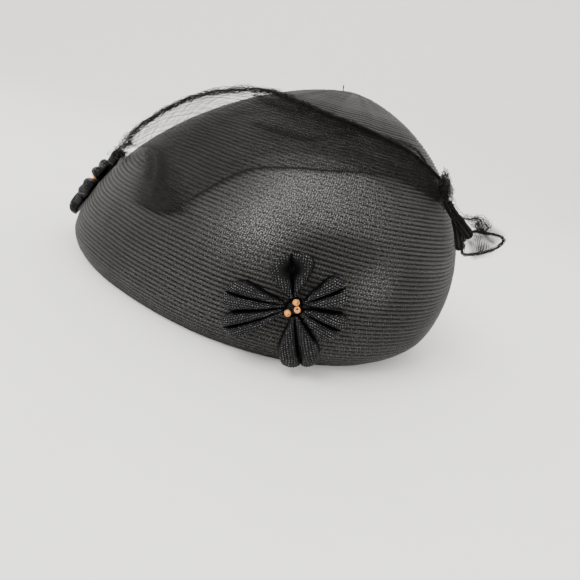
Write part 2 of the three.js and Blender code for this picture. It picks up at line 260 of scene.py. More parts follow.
def strand_shape(paths: np.ndarray, radius: float, sides: int = 3) -> Shape:
    """Makes round threads along paths.

    Args:
        paths: Points of each thread, threads by points by 3.
        radius: Radius of a thread.
        sides: Number of sides of a thread.

    Returns:
        The threads as one shape, closed at their ends.
    """
    threads, stations = paths.shape[:2]
    along = unit(np.gradient(paths, axis=1))
    aside = unit(np.cross(along, unit(np.array([0.31, 0.22, 0.92]))))
    across = np.cross(along, aside)
    angle = round_turn(sides)
    rings = (
        paths[:, :, None]
        + radius * np.cos(angle)[:, None] * aside[:, :, None]
        + radius * np.sin(angle)[:, None] * across[:, :, None]
    )
    number = np.arange(threads * stations * sides).reshape(threads, stations, sides)
    after = np.roll(number, -1, axis=2)
    quads = np.stack([number[:, :-1], after[:, :-1], after[:, 1:], number[:, 1:]], axis=-1).reshape(-1, 4)
    length = running(gaps(paths, axis=1))
    width = TURN * radius / sides
    start = grid_pattern(length[:, :, None], np.arange(sides) * width)
    beside = start + [0, width]
    pattern = np.stack([start[:, :-1], beside[:, :-1], beside[:, 1:], start[:, 1:]], axis=3)
    caps = [ring[::-1].tolist() for ring in number[:, 0]] + [ring.tolist() for ring in number[:, -1]]
    return Shape(rings.reshape(-1, 3), quads, pattern.reshape(-1, 4, 2), np.zeros(number.size), caps)


def add_node(
    tree: Tree,
    kind: str,
    inputs: dict[str, object] | None = None,
    **settings: object,
) -> bpy.types.Node:
    """Adds a node with its settings, and sets or links its inputs.

    Args:
        tree: The node tree.
        kind: The node's type.
        inputs: Value, or output socket to link, for inputs by identifier or name.
        settings: The node's own settings.

    Returns:
        The node.
    """
    node = tree.nodes.new(kind)
    for name, value in settings.items():
        setattr(node, name, value)
    for name, value in (inputs or {}).items():
        socket = next(s for s in node.inputs if name in (s.identifier, s.name))
        if isinstance(value, Socket):
            tree.links.new(value, socket)
        else:
            socket.default_value = value
    return node


def maths(tree: Tree, operation: str, *values: Socket | float) -> Socket:
    """Adds a maths node over up to three values, and gives its result."""
    inputs = dict(zip(("Value", "Value_001", "Value_002"), values))
    return add_node(tree, "ShaderNodeMath", inputs, operation=operation).outputs[0]


def ranged(tree: Tree, value: Socket, low: float, high: float, start: float = 0, end: float = 1) -> Socket:
    """Maps a value from low and high onto start and end, and holds it there."""
    inputs = {"Value": value, "From Min": low, "From Max": high, "To Min": start, "To Max": end}
    return add_node(tree, "ShaderNodeMapRange", inputs).outputs[0]


def noise(tree: Tree, place: Socket, size: float, detail: float = 2.0, rough: float = 0.5) -> Socket:
    """Adds flat noise from 0 to 1 whose patches measure about size, in the unit of place."""
    inputs = {"Vector": place, "Scale": 1 / size, "Detail": detail, "Roughness": rough}
    return add_node(tree, "ShaderNodeTexNoise", inputs, noise_dimensions="2D").outputs["Fac"]


def blend(tree: Tree, share: Socket, first: Socket | Colour, second: Socket | Colour) -> Socket:
    """Mixes two colours by a share from 0 to 1."""
    inputs = {"Factor_Float": share, "A_Color": first, "B_Color": second}
    return add_node(tree, "ShaderNodeMix", inputs, data_type="RGBA").outputs[2]


def pattern_place(tree: Tree) -> Socket:
    """Adds the pattern coordinates, in millimetres along the cloth."""
    return add_node(tree, "ShaderNodeUVMap", uv_map=PATTERN_MAP).outputs["UV"]


def point_tone(tree: Tree) -> Socket:
    """Adds the tone that a mesh carries at its points."""
    return add_node(tree, "ShaderNodeAttribute", attribute_name=TONE).outputs["Fac"]


def bump(tree: Tree, height: Socket, depth: float) -> Socket:
    """Adds a fine relief of a depth in millimetres, and gives its normal."""
    inputs = {"Height": height, "Strength": BUMP_STRENGTH, "Distance": depth * MM}
    return add_node(tree, "ShaderNodeBump", inputs).outputs["Normal"]


class Slot(Enum):
    """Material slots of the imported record."""

    STRAW = "straw"
    BRAID = "braid"
    NET = "net"
    BEAD = "bead"


@dataclass(frozen=True, kw_only=True)
class Finish:
    """A finish, whose surface method adds its nodes."""

    name: ClassVar[str]
    roughness: float = 0.5
    shine: float = 0.5

    def surface(self, tree: Tree) -> dict[str, object]:
        """Adds the nodes of the finish, and gives the inputs of its shader."""
        raise NotImplementedError

    def material(self) -> bpy.types.Material:
        """Builds the material."""
        material = bpy.data.materials.new(self.name)
        material.use_nodes = True
        tree = material.node_tree
        tree.nodes.clear()
        plain = {"Roughness": self.roughness, "Specular IOR Level": self.shine}
        shader = add_node(tree, "ShaderNodeBsdfPrincipled", plain | self.surface(tree))
        output = add_node(tree, "ShaderNodeOutputMaterial")
        tree.links.new(shader.outputs["BSDF"], output.inputs["Surface"])
        return material


@dataclass(frozen=True, kw_only=True)
class StrawCloth(Finish):
    """Black straw cloth: flat ribs of viscose straw, woven across with a fine glossy filament.

    The ribs show as light bands, with shade painted dark into the grooves between them, and the
    filament as fine broken highlights painted into the base colour. The further the tone is from 1,
    the flatter the ribs lie and the fainter the painted groove shade. Below 1 the straw there is
    plain and smooth, and above 1 the painted highlights take over.
    """

    name = "black_straw_cloth"
    rib_pitch: float
    # The groove colour is painted shade at the bottom of the grooves; where the ribs lie flat it fades to the
    # flat colour.
    groove: int = 0x010101
    rib: int = 0x292827
    flat: int = 0x191918
    # This colour is a painted highlight of the filament, mixed into the base colour in fine broken specks.
    painted_glint: int = 0x9C9C98
    stitch_pitch: float = 0.85
    stitch_share: float = 0.05
    stitch_unevenness: float = 4.0
    fleck_size: float = 0.48
    cloud_size: float = 38.0
    cloud_gain: tuple[float, float] = (0.82, 1.14)
    groove_shade_place: tuple[float, float] = (0.12, 0.33)
    # How much painted highlight is mixed in: the noise band that makes it, the tone where it is strongest,
    # and its strength where the ribs lie flat and where they stand high.
    painted_sparkle_place: tuple[float, float] = (0.52, 0.72)
    full_glint_tone: float = 1.65
    flat_painted_glints: float = 0.75
    rib_painted_glints: float = 0.16
    bump_depth: float = 0.12
    shine: float = 0.1

    def surface(self, tree: Tree) -> dict[str, object]:
        """Adds the nodes of the finish, and gives the inputs of its shader."""
        place, tone = pattern_place(tree), point_tone(tree)
        relief = maths(tree, "SUBTRACT", 1.0, maths(tree, "ABSOLUTE", maths(tree, "SUBTRACT", tone, 1.0)))
        along, across, _ = add_node(tree, "ShaderNodeSeparateXYZ", {"Vector": place}).outputs
        fleck = noise(tree, place, self.fleck_size, 1.5, 0.7)
        cloudy = ranged(tree, noise(tree, place, self.cloud_size, 3.0), *CLOUD_PLACE, *self.cloud_gain)
        from_groove = maths(tree, "PINGPONG", maths(tree, "MULTIPLY", across, 1 / self.rib_pitch), 0.5)
        # Painted shade: the grooves between the ribs get the dark groove colour, fading to the flat colour
        # where the ribs lie flat.
        on_rib = ranged(tree, from_groove, *self.groove_shade_place)
        groove = blend(tree, relief, linear_rgba(self.flat), linear_rgba(self.groove))
        base = blend(tree, on_rib, groove, linear_rgba(self.rib))
        uneven = maths(tree, "MULTIPLY", fleck, self.stitch_unevenness)
        stitch = maths(tree, "SINE", maths(tree, "MULTIPLY_ADD", along, TURN / self.stitch_pitch, uneven))
        stitched = maths(tree, "MULTIPLY_ADD", stitch, self.stitch_share, fleck)
        # Painted highlights: fine broken specks of the highlight colour mixed into the base colour, strongest
        # where the tone is above 1.
        painted_sparkle = ranged(tree, stitched, *self.painted_sparkle_place)
        strength = ranged(tree, tone, 1.0, self.full_glint_tone, self.rib_painted_glints, self.flat_painted_glints)
        with_painted_glints = blend(tree, maths(tree, "MULTIPLY", painted_sparkle, strength), base, linear_rgba(self.painted_glint))
        colour = {"Vector": with_painted_glints, "Scale": cloudy}
        height = maths(tree, "MULTIPLY_ADD", stitch, 0.5, fleck)
        return {
            "Base Color": add_node(tree, "ShaderNodeVectorMath", colour, operation="SCALE").outputs[0],
            "Normal": bump(tree, height, self.bump_depth),
        }


@dataclass(frozen=True, kw_only=True)
class StrawBraid(Finish):
    """Plaited straw braid: glossy black strands laid over each other in a herringbone.

    The relief of the plait is in the mesh, and its tone paints shade into the gaps between the strands,
    into the creases and hollows of the petals and onto their undersides, while fine highlights are
    painted onto the crests of the strands.
    """

    name = "black_straw_braid"
    # The gap colour is painted shade between the strands.
    gap: int = 0x000000
    strand: int = 0x0C0C0D
    # This colour is a painted highlight, mixed in on the crests of the strands.
    painted_glint: int = 0xCCCCCE
    fibre_size: float = 0.35
    painted_glint_place: tuple[float, float] = (0.42, 0.74)
    painted_glint_share: float = 0.6
    bump_depth: float = 0.08
    shine: float = 0.1
    roughness: float = 0.38

    def surface(self, tree: Tree) -> dict[str, object]:
        """Adds the nodes of the finish, and gives the inputs of its shader."""
        tone = point_tone(tree)
        fibre = noise(tree, pattern_place(tree), self.fibre_size, 2.0, 0.7)
        # Painted shade: the tone blends from the gap colour, where shade is painted, to the strand colour.
        base = blend(tree, tone, linear_rgba(self.gap), linear_rgba(self.strand))
        # Painted highlights on the crests of the strands, where tone and fibre are both high.
        crest = maths(tree, "MULTIPLY", tone, fibre)
        painted_glints = ranged(tree, crest, *self.painted_glint_place, 0.0, self.painted_glint_share)
        return {
            "Base Color": blend(tree, painted_glints, base, linear_rgba(self.painted_glint)),
            "Normal": bump(tree, fibre, self.bump_depth),
        }


@dataclass(frozen=True, kw_only=True)
class NetThread(Finish):
    """Fine black silk thread of the net, painted in noisy patches between a shade colour and a slightly brown
    lit colour: painted light.
    """

    name = "black_net_thread"
    shadow: int = 0x030303
    light: int = 0x171514
    painted_light_size: float = 9.0
    shine: float = 0.15
    roughness: float = 0.55

    def surface(self, tree: Tree) -> dict[str, object]:
        """Adds the nodes of the finish, and gives the inputs of its shader."""
        painted_light_patches = noise(tree, pattern_place(tree), self.painted_light_size, 3.0)
        return {"Base Color": blend(tree, painted_light_patches, linear_rgba(self.shadow), linear_rgba(self.light))}


@dataclass(frozen=True, kw_only=True)
class SheerNet(Finish):
    """Sheer machine net: a smoky brownish haze of diamond meshes too fine to show one by one.

    The tone of the mesh is how much of what lies behind the net covers. The meshes are drawn
    coarser than the real ones, so that they show at all.
    """

    name = "sheer_black_net"
    thread: int = 0x201E1D
    mesh_pitch: float = 1.5
    thread_place: tuple[float, float] = (0.05, 0.2)
    wander_size: float = 6.0
    on_thread: float = 1.25
    off_thread: float = 0.85
    cloud_size: float = 9.0
    cloud_gain: tuple[float, float] = (0.75, 1.25)
    shine: float = 0.1
    roughness: float = 0.7

    def surface(self, tree: Tree) -> dict[str, object]:
        """Adds the nodes of the finish, and gives the inputs of its shader."""
        place = pattern_place(tree)
        drift = noise(tree, place, self.wander_size).node.outputs["Color"]
        reach = (self.mesh_pitch, self.mesh_pitch, 0.0)
        drifted = {"Vector": drift, "Vector_001": reach, "Vector_002": place}
        moved = add_node(tree, "ShaderNodeVectorMath", drifted, operation="MULTIPLY_ADD").outputs[0]
        along, across, _ = add_node(tree, "ShaderNodeSeparateXYZ", {"Vector": moved}).outputs
        slants = [maths(tree, operation, along, across) for operation in ("ADD", "SUBTRACT")]
        lines = [maths(tree, "PINGPONG", slant, self.mesh_pitch / 2) for slant in slants]
        nearest = maths(tree, "MINIMUM", *lines)
        near, far = (self.mesh_pitch * share for share in self.thread_place)
        grain = ranged(tree, nearest, near, far, self.on_thread, self.off_thread)
        cloudy = ranged(tree, noise(tree, place, self.cloud_size, 3.0), *CLOUD_PLACE, *self.cloud_gain)
        haze = maths(tree, "MULTIPLY", point_tone(tree), cloudy)
        cover = ranged(tree, maths(tree, "MULTIPLY", haze, grain), 0, 1)
        return {"Base Color": linear_rgba(self.thread), "Alpha": cover}


@dataclass(frozen=True, kw_only=True)
class AmberGlass(Finish):
    """Pressed glass seed beads in amber, glossy, with paler glass in random specks."""

    name = "amber_glass"
    body: int = 0xB8641E
    pale: int = 0xD8964E
    speck_size: float = 0.8
    roughness: float = 0.16
    index: float = 1.52
    clearness: float = 0.15
    coat: float = 0.4
    coat_roughness: float = 0.08

    def surface(self, tree: Tree) -> dict[str, object]:
        """Adds the nodes of the finish, and gives the inputs of its shader."""
        speck = noise(tree, pattern_place(tree), self.speck_size)
        return {
            "Base Color": blend(tree, speck, linear_rgba(self.body), linear_rgba(self.pale)),
            "IOR": self.index,
            "Transmission Weight": self.clearness,
            "Coat Weight": self.coat,
            "Coat Roughness": self.coat_roughness,
        }


@dataclass(frozen=True, kw_only=True)
class StudioPaper(Finish):
    """Matt pale paper of the studio floor, with a faint mottle."""

    name = "studio_paper"
    light: int = 0xF3F2EF
    dark: int = 0xEEEDEA
    mottle_size: float = 60.0
    roughness: float = 0.85

    def surface(self, tree: Tree) -> dict[str, object]:
        """Adds the nodes of the finish, and gives the inputs of its shader."""
        place = add_node(tree, "ShaderNodeNewGeometry").outputs["Position"]
        mottle = noise(tree, place, self.mottle_size * MM, 3.0)
        return {"Base Color": blend(tree, mottle, linear_rgba(self.light), linear_rgba(self.dark))}


def make_piece(
    name: str,
    shape: Shape,
    material: bpy.types.Material,
    replaces: Sequence[str] = (),
) -> bpy.types.Object:
    """Turns a shape into a piece of the hat that rides on its one body.

    Args:
        name: Name of the piece.
        shape: The mesh, in millimetres.
        material: The finish.
        replaces: CAD nodes that the piece stands for.

    Returns:
        The new object.
    """
    mesh = bpy.data.meshes.new(name)
    mesh.from_pydata((shape.points * MM).tolist(), [], shape.quads.tolist() + shape.caps)
    layer = mesh.uv_layers.new(name=PATTERN_MAP)
    corners = np.zeros((len(mesh.loops), 2), np.float32)
    corners[: shape.pattern.shape[0] * 4] = shape.pattern.reshape(-1, 2)
    layer.uv.foreach_set("vector", corners.ravel())
    tone = mesh.attributes.new(TONE, "FLOAT", "POINT")
    tone.data.foreach_set("value", shape.tone.astype(np.float32))
    mesh.shade_smooth()
    mesh.materials.append(material)
    piece = bpy.data.objects.new(name, mesh)
    bpy.context.scene.collection.objects.link(piece)
    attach(piece, "root")
    if replaces:
        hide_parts(*replaces)
    triangles = 2 * len(shape.quads) + sum(len(cap) - 2 for cap in shape.caps)
    LOG.info("%s: %d triangles", name, triangles)
    return piece


@dataclass
class CrownForm:
    """Outer surface of the crown, with the sizes of the CAD source.

    It is a rounded cone that leans to the wearer's left and forwards, with soft corners, and
    below the widest level it turns in to the hem.
    """

    half_length: float = 112.0
    half_depth: float = 102.0
    rise: float = 109.0
    hem_drop: float = 13.5
    hem_pull: float = 7.0
    wall: float = 2.0
    tip_across: float = 32.6
    tip_forward: float = 22.6
    flank_power: float = 1.21
    back_flank_power: float = 1.02
    shoulder_power: float = 1.15
    hem_power: float = 1.74
    back_turn: float = 8.0
    waves: tuple[tuple[int, float, float], ...] = ((2, 0.072, -45.8), (3, 0.033, -51.7))
    cad_sides: int = 56
    cad_rows: int = 14
    measured_rows: int = 401
    measured_turns: int = 24
    crowding: float = 1.15
    shift: np.ndarray = field(default_factory=lambda: np.zeros(3))

    def seat_on(self, node: str) -> None:
        """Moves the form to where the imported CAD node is."""
        low, high = (np.array(corner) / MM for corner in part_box(node))
        rows = [*np.linspace(0, WIDEST, self.cad_rows + 1), HEM]
        from_tip, turn = np.meshgrid(rows, round_turn(self.cad_sides, 360))
        own = self.point(from_tip, turn).reshape(-1, 3)
        self.shift = (low + high) / 2 - (own.min(0) + own.max(0)) / 2

    def point(self, from_tip: np.ndarray, turn: np.ndarray, inset: float = 0.0) -> np.ndarray:
        """Points of the surface, or of one that lies inset inside it."""
        from_tip, turn = np.broadcast_arrays(np.asarray(from_tip, float), np.asarray(turn, float))
        rising = np.radians(np.minimum(from_tip, WIDEST))
        falling = np.maximum(from_tip - WIDEST, 0) / (HEM - WIDEST)
        backness = np.maximum(np.sin(np.radians(turn - self.back_turn)), 0) ** 2
        power = self.flank_power + (self.back_flank_power - self.flank_power) * backness
        spread = np.sin(rising) ** power - self.hem_pull / self.half_length * falling**self.hem_power
        rise = (self.rise - inset) * np.maximum(np.cos(rising), 0) ** self.shoulder_power
        height = np.where(falling > 0, -self.hem_drop * falling, rise)
        lean = height / self.rise
        outline = 1 + sum(s * np.cos(np.radians(n * (turn - peak))) for n, s, peak in self.waves)
        angle = np.radians(turn)
        across = (self.half_length - inset) * spread * outline * np.cos(angle) + self.tip_across * lean
        back = (self.half_depth - inset) * spread * outline * np.sin(angle) - self.tip_forward * lean
        return np.stack([across, back, height], axis=-1) + self.shift

    def normal(self, from_tip: np.ndarray, turn: np.ndarray) -> np.ndarray:
        """Outward directions of the surface."""
        step = 0.5
        middle = np.clip(from_tip, 1, HEM - step)
        down = self.point(middle + step, turn) - self.point(middle - step, turn)
        round_crown = self.point(middle, turn + step) - self.point(middle, turn - step)
        return unit(np.cross(down, round_crown))

    def off(self, from_tip: np.ndarray, turn: np.ndarray, distance: np.ndarray | float) -> np.ndarray:
        """Points that stand off the surface by a distance."""
        away = np.asarray(distance, float)[..., None]
        return self.point(from_tip, turn) + self.normal(from_tip, turn) * away

    def per_degree(self, place: Place) -> tuple[float, float]:
        """Millimetres of one degree down the crown and of one round it, at a place."""
        here = self.point(*place)
        beside = (self.point(place[0] + 1, place[1]), self.point(place[0], place[1] + 1))
        return tuple(float(np.linalg.norm(point - here)) for point in beside)

    def patch(self, place: Place) -> Callable[..., np.ndarray]:
        """Gives the surface round a place in millimetres across and up, and off it."""
        from_tip, turn = place
        per_down, per_round = self.per_degree(place)

        def at(across: np.ndarray, up: np.ndarray, distance: np.ndarray | float) -> np.ndarray:
            return self.off(np.minimum(from_tip - up / per_down, HEM), turn + across / per_round, distance)

        return at

    def axes(self, place: Place) -> np.ndarray:
        """Directions across, up and outward at a place, as rows."""
        outward = self.normal(*place)
        across = unit(np.cross([0, 0, 1.0], outward))
        return np.stack([across, np.cross(outward, across), outward])

    def row_gaps(self, from_tip: np.ndarray) -> np.ndarray:
        """Mean distances along the cloth from each angle down the crown to the next."""
        return gaps(self.point(from_tip[:, None], round_turn(self.measured_turns, 360))).mean(axis=1)

    def rows(self, count: int) -> np.ndarray:
        """Angles from the tip to the hem, a little closer together along the cloth near the tip."""
        angle = np.linspace(0, HEM, self.measured_rows)
        length = running(self.row_gaps(angle))
        return np.interp(length[-1] * np.linspace(0, 1, count) ** self.crowding, length, angle)


class Relief(NamedTuple):
    """Zone of the crown where the ribs lie flatter or stand higher, and, if glossy, where the cloth gets
    stronger painted highlights.
    """

    place: Place
    tip_reach: float
    round_reach: float
    gain: float
    glossy: bool = False


@dataclass
class StrawCrown:
    """The crown: one shell of ribbed straw cloth with its hem turned in."""

    form: CrownForm
    ribs: int = 92
    rows_per_rib: int = 4
    sides: int = 228
    rib_depth: float = 1.0
    rib_power: float = 0.8
    rib_level: float = 0.75
    rib_step: float = 0.07
    least_relief: float = 0.15
    most_relief: float = 1.6
    groove_unevenness: float = 0.3
    waver: float = 0.14
    waver_waves: tuple[int, ...] = (5, 11, 17, 29)
    rib_delay: float = 0.06
    sway: float = 0.35
    calm_degrees: float = 10.0
    sway_waves: tuple[int, ...] = (3, 7, 13)
    pattern_radius: float = 80.0
    lining_rows: int = 14
    seed: int = 5
    reliefs: tuple[Relief, ...] = (
        Relief((0, 0), 27, 400, -1.6),
        Relief((52, -84), 9, 17, -0.7, glossy=True),
        Relief((63, -93), 7, 10, -0.55, glossy=True),
        Relief((68, -61), 7, 6, -0.5, glossy=True),
        Relief((62, -74), 3.5, 9, 0.6),
        Relief((86, -100), 8, 60, 0.3),
        Relief((75, -45), 14, 18, 0.35),
    )

    @property
    def rib_pitch(self) -> float:
        """Mean distance between ribs, along the cloth."""
        return float(self.form.row_gaps(self.form.rows(self.ribs + 1)).mean())

    def relief_at(self, from_tip: np.ndarray, turn: np.ndarray) -> tuple[np.ndarray, np.ndarray]:
        """Share of the full rib depth at places of the crown, and whether painted highlights are strong
        there.
        """
        gain = np.ones(np.broadcast(from_tip, turn).shape)
        glint_zone = np.zeros(gain.shape)
        for zone in self.reliefs:
            apart = (turn - zone.place[1] + 180) % 360 - 180
            near = hump(from_tip, zone.place[0], zone.tip_reach) * hump(apart, 0, zone.round_reach)
            gain = gain + zone.gain * near
            glint_zone = glint_zone - zone.gain * near * (1 if zone.glossy else -1)
        return np.clip(gain, self.least_relief, self.most_relief), glint_zone > 0

    def drift(self, waves: Sequence[int], delay: np.ndarray, turn: np.ndarray) -> np.ndarray:
        """Uneven wave round the crown that shifts a little from rib to rib."""
        rng = np.random.default_rng(self.seed + len(waves))
        starts = rng.uniform(0, TURN, len(waves))
        parts = [np.sin(count * np.radians(turn) + start + delay) for count, start in zip(waves, starts)]
        return sum(parts) / len(waves)

    def outer_grid(self) -> tuple[np.ndarray, np.ndarray, np.ndarray]:
        """Points, pattern coordinates and tone of the ribbed outside, from the tip to the hem."""
        rng = np.random.default_rng(self.seed)
        count = self.ribs * self.rows_per_rib
        row = np.arange(2, count + 1)[:, None]
        turn = round_turn(self.sides, 360)[None, :]
        phase = row / self.rows_per_rib
        rib = np.minimum(phase.astype(int), self.ribs - 1)
        straight = self.form.rows(count + 1)[row]
        calm = np.clip((HEM - straight) / self.calm_degrees, 0, 1)
        angle = straight + self.sway * calm * self.drift(self.sway_waves, self.rib_delay * phase / 2, turn)
        groove = rng.uniform(-1, 1, self.ribs + 1)[np.round(phase).astype(int)]
        depth = 1 + self.groove_unevenness * groove
        crest = 1 - (1 - np.abs(np.sin(np.pi * phase)) ** self.rib_power) * depth
        relief, glint_zone = self.relief_at(angle, turn)
        flatness = 1 - np.clip(relief, 0, 1)
        level = self.rib_step * rng.uniform(-1, 1, self.ribs)[rib]
        waver = self.waver * self.drift(self.waver_waves, self.rib_delay * rib, turn)
        off = self.rib_depth * relief * (crest - self.rib_level) + (level + waver) * crest
        round_crown = TURN * self.pattern_radius * np.arange(self.sides + 1)[None, :] / self.sides
        pattern = grid_pattern(round_crown, phase * self.rib_pitch)
        # The tone is below 1 where the ribs lie flat and plain, and above 1 where they lie flat with strong
        # painted highlights.
        return self.form.off(angle, turn, off), pattern, 1 + np.where(glint_zone, flatness, -flatness)

    def inner_grid(self, pattern: np.ndarray) -> tuple[np.ndarray, np.ndarray]:
        """Points and pattern coordinates of the inside, from the hem back to the tip."""
        rows = self.form.rows(self.lining_rows)[::-1][:-1, None]
        inner = self.form.point(rows, round_turn(self.sides, 360)[None, :], self.form.wall)
        down = pattern[..., 1].max() + self.form.wall + running(gaps(inner[:, 0]))
        return inner, grid_pattern(pattern[-1:, :, 0], down[:, None])

    def build(self, material: bpy.types.Material) -> None:
        """Builds the crown."""
        outer, outer_pattern, outer_tone = self.outer_grid()
        inner, inner_pattern = self.inner_grid(outer_pattern)
        fold = (outer[-1:] + inner[:1]) / 2
        fold_pattern = (outer_pattern[-1:] + inner_pattern[:1]) / 2
        points = np.concatenate([outer, fold, inner])
        pattern = np.concatenate([outer_pattern, fold_pattern, inner_pattern])
        tone = np.concatenate([outer_tone, np.ones((1 + len(inner), self.sides))])
        shape = grid_shape(points, pattern, tone, wrapped=True)
        shape.close_ends(self.sides)
        make_piece("crown_straw", shape, material, ["crown"])


class Petal(NamedTuple):
    """One petal: direction, length and width as shares, curl of its tip, and depth of its loop's hollow."""

    name: str
    turn: float
    length: float
    width: float
    curl: float
    hollow: float = 0.0


class Bead(NamedTuple):
    """One bead: direction, distance as a share of the heart's radius, and tilts across and up."""

    turn: float
    reach: float
    lean: float
    tip: float


@dataclass
class BraidFlower:
    """A flower of six loops of folded straw braid, with three amber beads on its heart."""

    form: CrownForm
    prefix: str
    place: Place
    petal_length: float = 29.0
    petal_half_width: float = 8.4
    petal_thickness: float = 6.4
    petal_base: float = 1.2
    petal_root: float = 4.4
    petal_room: float = 0.3
    petal_swell: float = 1.2
    petal_curl: float = 7.0
    least_height: float = 0.02

    # The two lobes of a petal: shares of its half width, and powers that round them off
    lobe_middle: float = 0.52
    lobe_reach: float = 0.51
    lobe_bend: float = 2.2
    lobe_power: float = 0.42
    body_power: float = 0.7
    body_fullness: float = 1.6
    crease: float = 0.3

    # The hollow of a loop: its middle along the petal, and its reach along and across it
    hollow_place: float = 0.66
    hollow_length: float = 0.17
    hollow_width: float = 0.4

    strip_width: float = 1.1
    strip_power: float = 0.5
    plait_pitch: float = 1.05
    plait_slope: float = 0.7
    plait_stagger: float = 0.37
    plait_power: float = 0.6
    plait_depth: float = 0.6
    plait_level: float = 0.6
    plait_edge: float = 2.5

    # Painted shade of the braid: how fast it lightens away from the crease, its least tone there, and the
    # darker tone of the underside and the heart
    crease_shade_gain: float = 1.5
    crease_shade_least: float = 0.05
    shaded_tone: float = 0.3

    stations: int = 96
    top_columns: int = 108
    under_columns: int = 8
    heart_radius: float = 3.4
    heart_height: float = 4.6
    heart_closing: float = 0.97
    heart_fullness: float = 0.98
    heart_ridges: int = 12
    heart_ridge_height: float = 0.08
    heart_twist: float = 6.0
    heart_rows: int = 16
    heart_sides: int = 40
    bead_radius: float = 1.4
    bead_hole: float = 0.26
    bead_flatness: float = 0.8
    bead_gap: float = 0.3
    bead_sink: float = 0.25
    bead_rings: int = 20
    bead_sides: int = 32

    petals: tuple[Petal, ...] = (
        Petal("top", 118, 0.78, 1.04, 1.0, 0.85),
        Petal("left", 185, 1.0, 0.84, 0.25),
        Petal("lower_left", 222, 1.02, 0.86, 0.3),
        Petal("bottom", 298, 1.14, 1.0, 0.4),
        Petal("lower_right", 346, 0.8, 0.86, 0.2),
        Petal("right", 41, 0.7, 0.86, 0.5),
    )

    # Half width and thickness of a petal at places along it, as shares of the largest
    along: tuple[float, ...] = (0, 0.14, 0.32, 0.52, 0.7, 0.84, 0.93, 0.98, 1.0)
    widths: tuple[float, ...] = (0.16, 0.36, 0.64, 0.9, 1.0, 0.9, 0.68, 0.4, 0.16)
    heights: tuple[float, ...] = (0.5, 0.7, 0.92, 1.0, 0.98, 0.84, 0.64, 0.4, 0.22)

    beads: tuple[Bead, ...] = (Bead(96, 0.86, 55, 20), Bead(14, 0.42, -20, 45), Bead(238, 0.74, 40, -30))

    def half_spacing(self, index: int) -> float:
        """Half the angle between a petal and its nearer neighbour."""
        turned = [abs(petal.turn - self.petals[index].turn) % 360 for petal in self.petals]
        return min(min(gap, 360 - gap) for place, gap in enumerate(turned) if place != index) / 2

    def plait(self, reach: np.ndarray, spread: np.ndarray, rise: np.ndarray) -> np.ndarray:
        """Height of the plait, from 0 in a gap to 1 on a strand.

        The braid is plaited of narrow strips, whose strands lean to and fro in turn.

        Args:
            reach: Distance from the flower's middle, one for each ring of the petal.
            spread: Distance from the crease, rings by columns.
            rise: Height of the petal's form, rings by columns.

        Returns:
            The height at each place, rings by columns.
        """
        arc = running(np.hypot(np.diff(spread, axis=1), np.diff(rise, axis=1)))
        strip = (arc - arc[:, self.top_columns // 2][:, None]) / self.strip_width
        number = np.floor(strip)
        lean = np.where(number % 2 == 0, self.plait_slope, -self.plait_slope)
        phase = reach / self.plait_pitch + lean * (strip - number - 0.5) + self.plait_stagger * number
        strand = np.abs(np.sin(np.pi * phase)) ** self.plait_power
        return strand * np.abs(np.sin(np.pi * strip)) ** self.strip_power

    def petal_shape(self, index: int) -> Shape:
        """A loop of braid folded into two rounded lobes, with the relief of its plait."""
        petal = self.petals[index]
        length = self.petal_length * petal.length
        share = (np.sin(np.linspace(0, 1, self.stations) * np.pi / 2) ** self.petal_swell)[:, None]
        reach = self.petal_root + (length - self.petal_root) * share
        room = reach * math.sin(math.radians(self.half_spacing(index))) - self.petal_room / 2
        widest = self.petal_half_width * petal.width
        half = np.minimum(widest * np.interp(share, self.along, self.widths), room)
        thick = self.petal_thickness * np.interp(share, self.along, self.heights)
        top = np.linspace(0, np.pi, self.top_columns + 1)
        under = np.linspace(np.pi, TURN, self.under_columns + 1)[1:-1]
        angle = np.concatenate([top, under])[None, :]
        is_top = np.sin(angle) >= -1e-9
        body = np.maximum(np.sin(angle), 0) ** self.body_power
        side = np.abs(np.cos(angle))
        lobe = 1 - (np.abs(side - self.lobe_middle) / self.lobe_reach) ** self.lobe_bend
        lobe = np.maximum(lobe, 0) ** self.lobe_power
        looped = hump(share, self.hollow_place, self.hollow_length) * hump(side, 0, self.hollow_width)
        hollow = 1 - petal.hollow * looped
        form = np.maximum(lobe, self.crease * body) * np.minimum(body * self.body_fullness, 1) * hollow
        spread = half * np.cos(angle)
        base = self.petal_base / 2
        strand = self.plait(reach, spread, thick * form)
        depth = self.plait_depth * np.minimum(body * 2, 1) * np.minimum(thick / self.plait_edge, 1)
        relief = depth * (strand - self.plait_level)
        height = np.where(is_top, base + (thick - base) * form + relief, base * (1 + np.sin(angle)))
        lift = SEAT + self.petal_curl * petal.curl * share**2 + np.maximum(height, self.least_height)
        direction = np.radians(petal.turn)
        across = reach * np.cos(direction) - spread * np.sin(direction)
        up = reach * np.sin(direction) + spread * np.cos(direction)
        points = self.form.patch(self.place)(across, up, lift)
        pattern = grid_pattern(reach, np.concatenate([spread, spread[:, :1]], axis=1))
        # Painted shade: the tone darkens the gaps between the strands, the crease between the lobes and the
        # loop's hollow, and the underside gets one darker tone.
        tone = strand * np.clip(form * self.crease_shade_gain, self.crease_shade_least, 1) * hollow
        shape = grid_shape(points, pattern, np.where(is_top, tone, self.shaded_tone), wrapped=True)
        shape.close_ends(points.shape[1])
        return shape

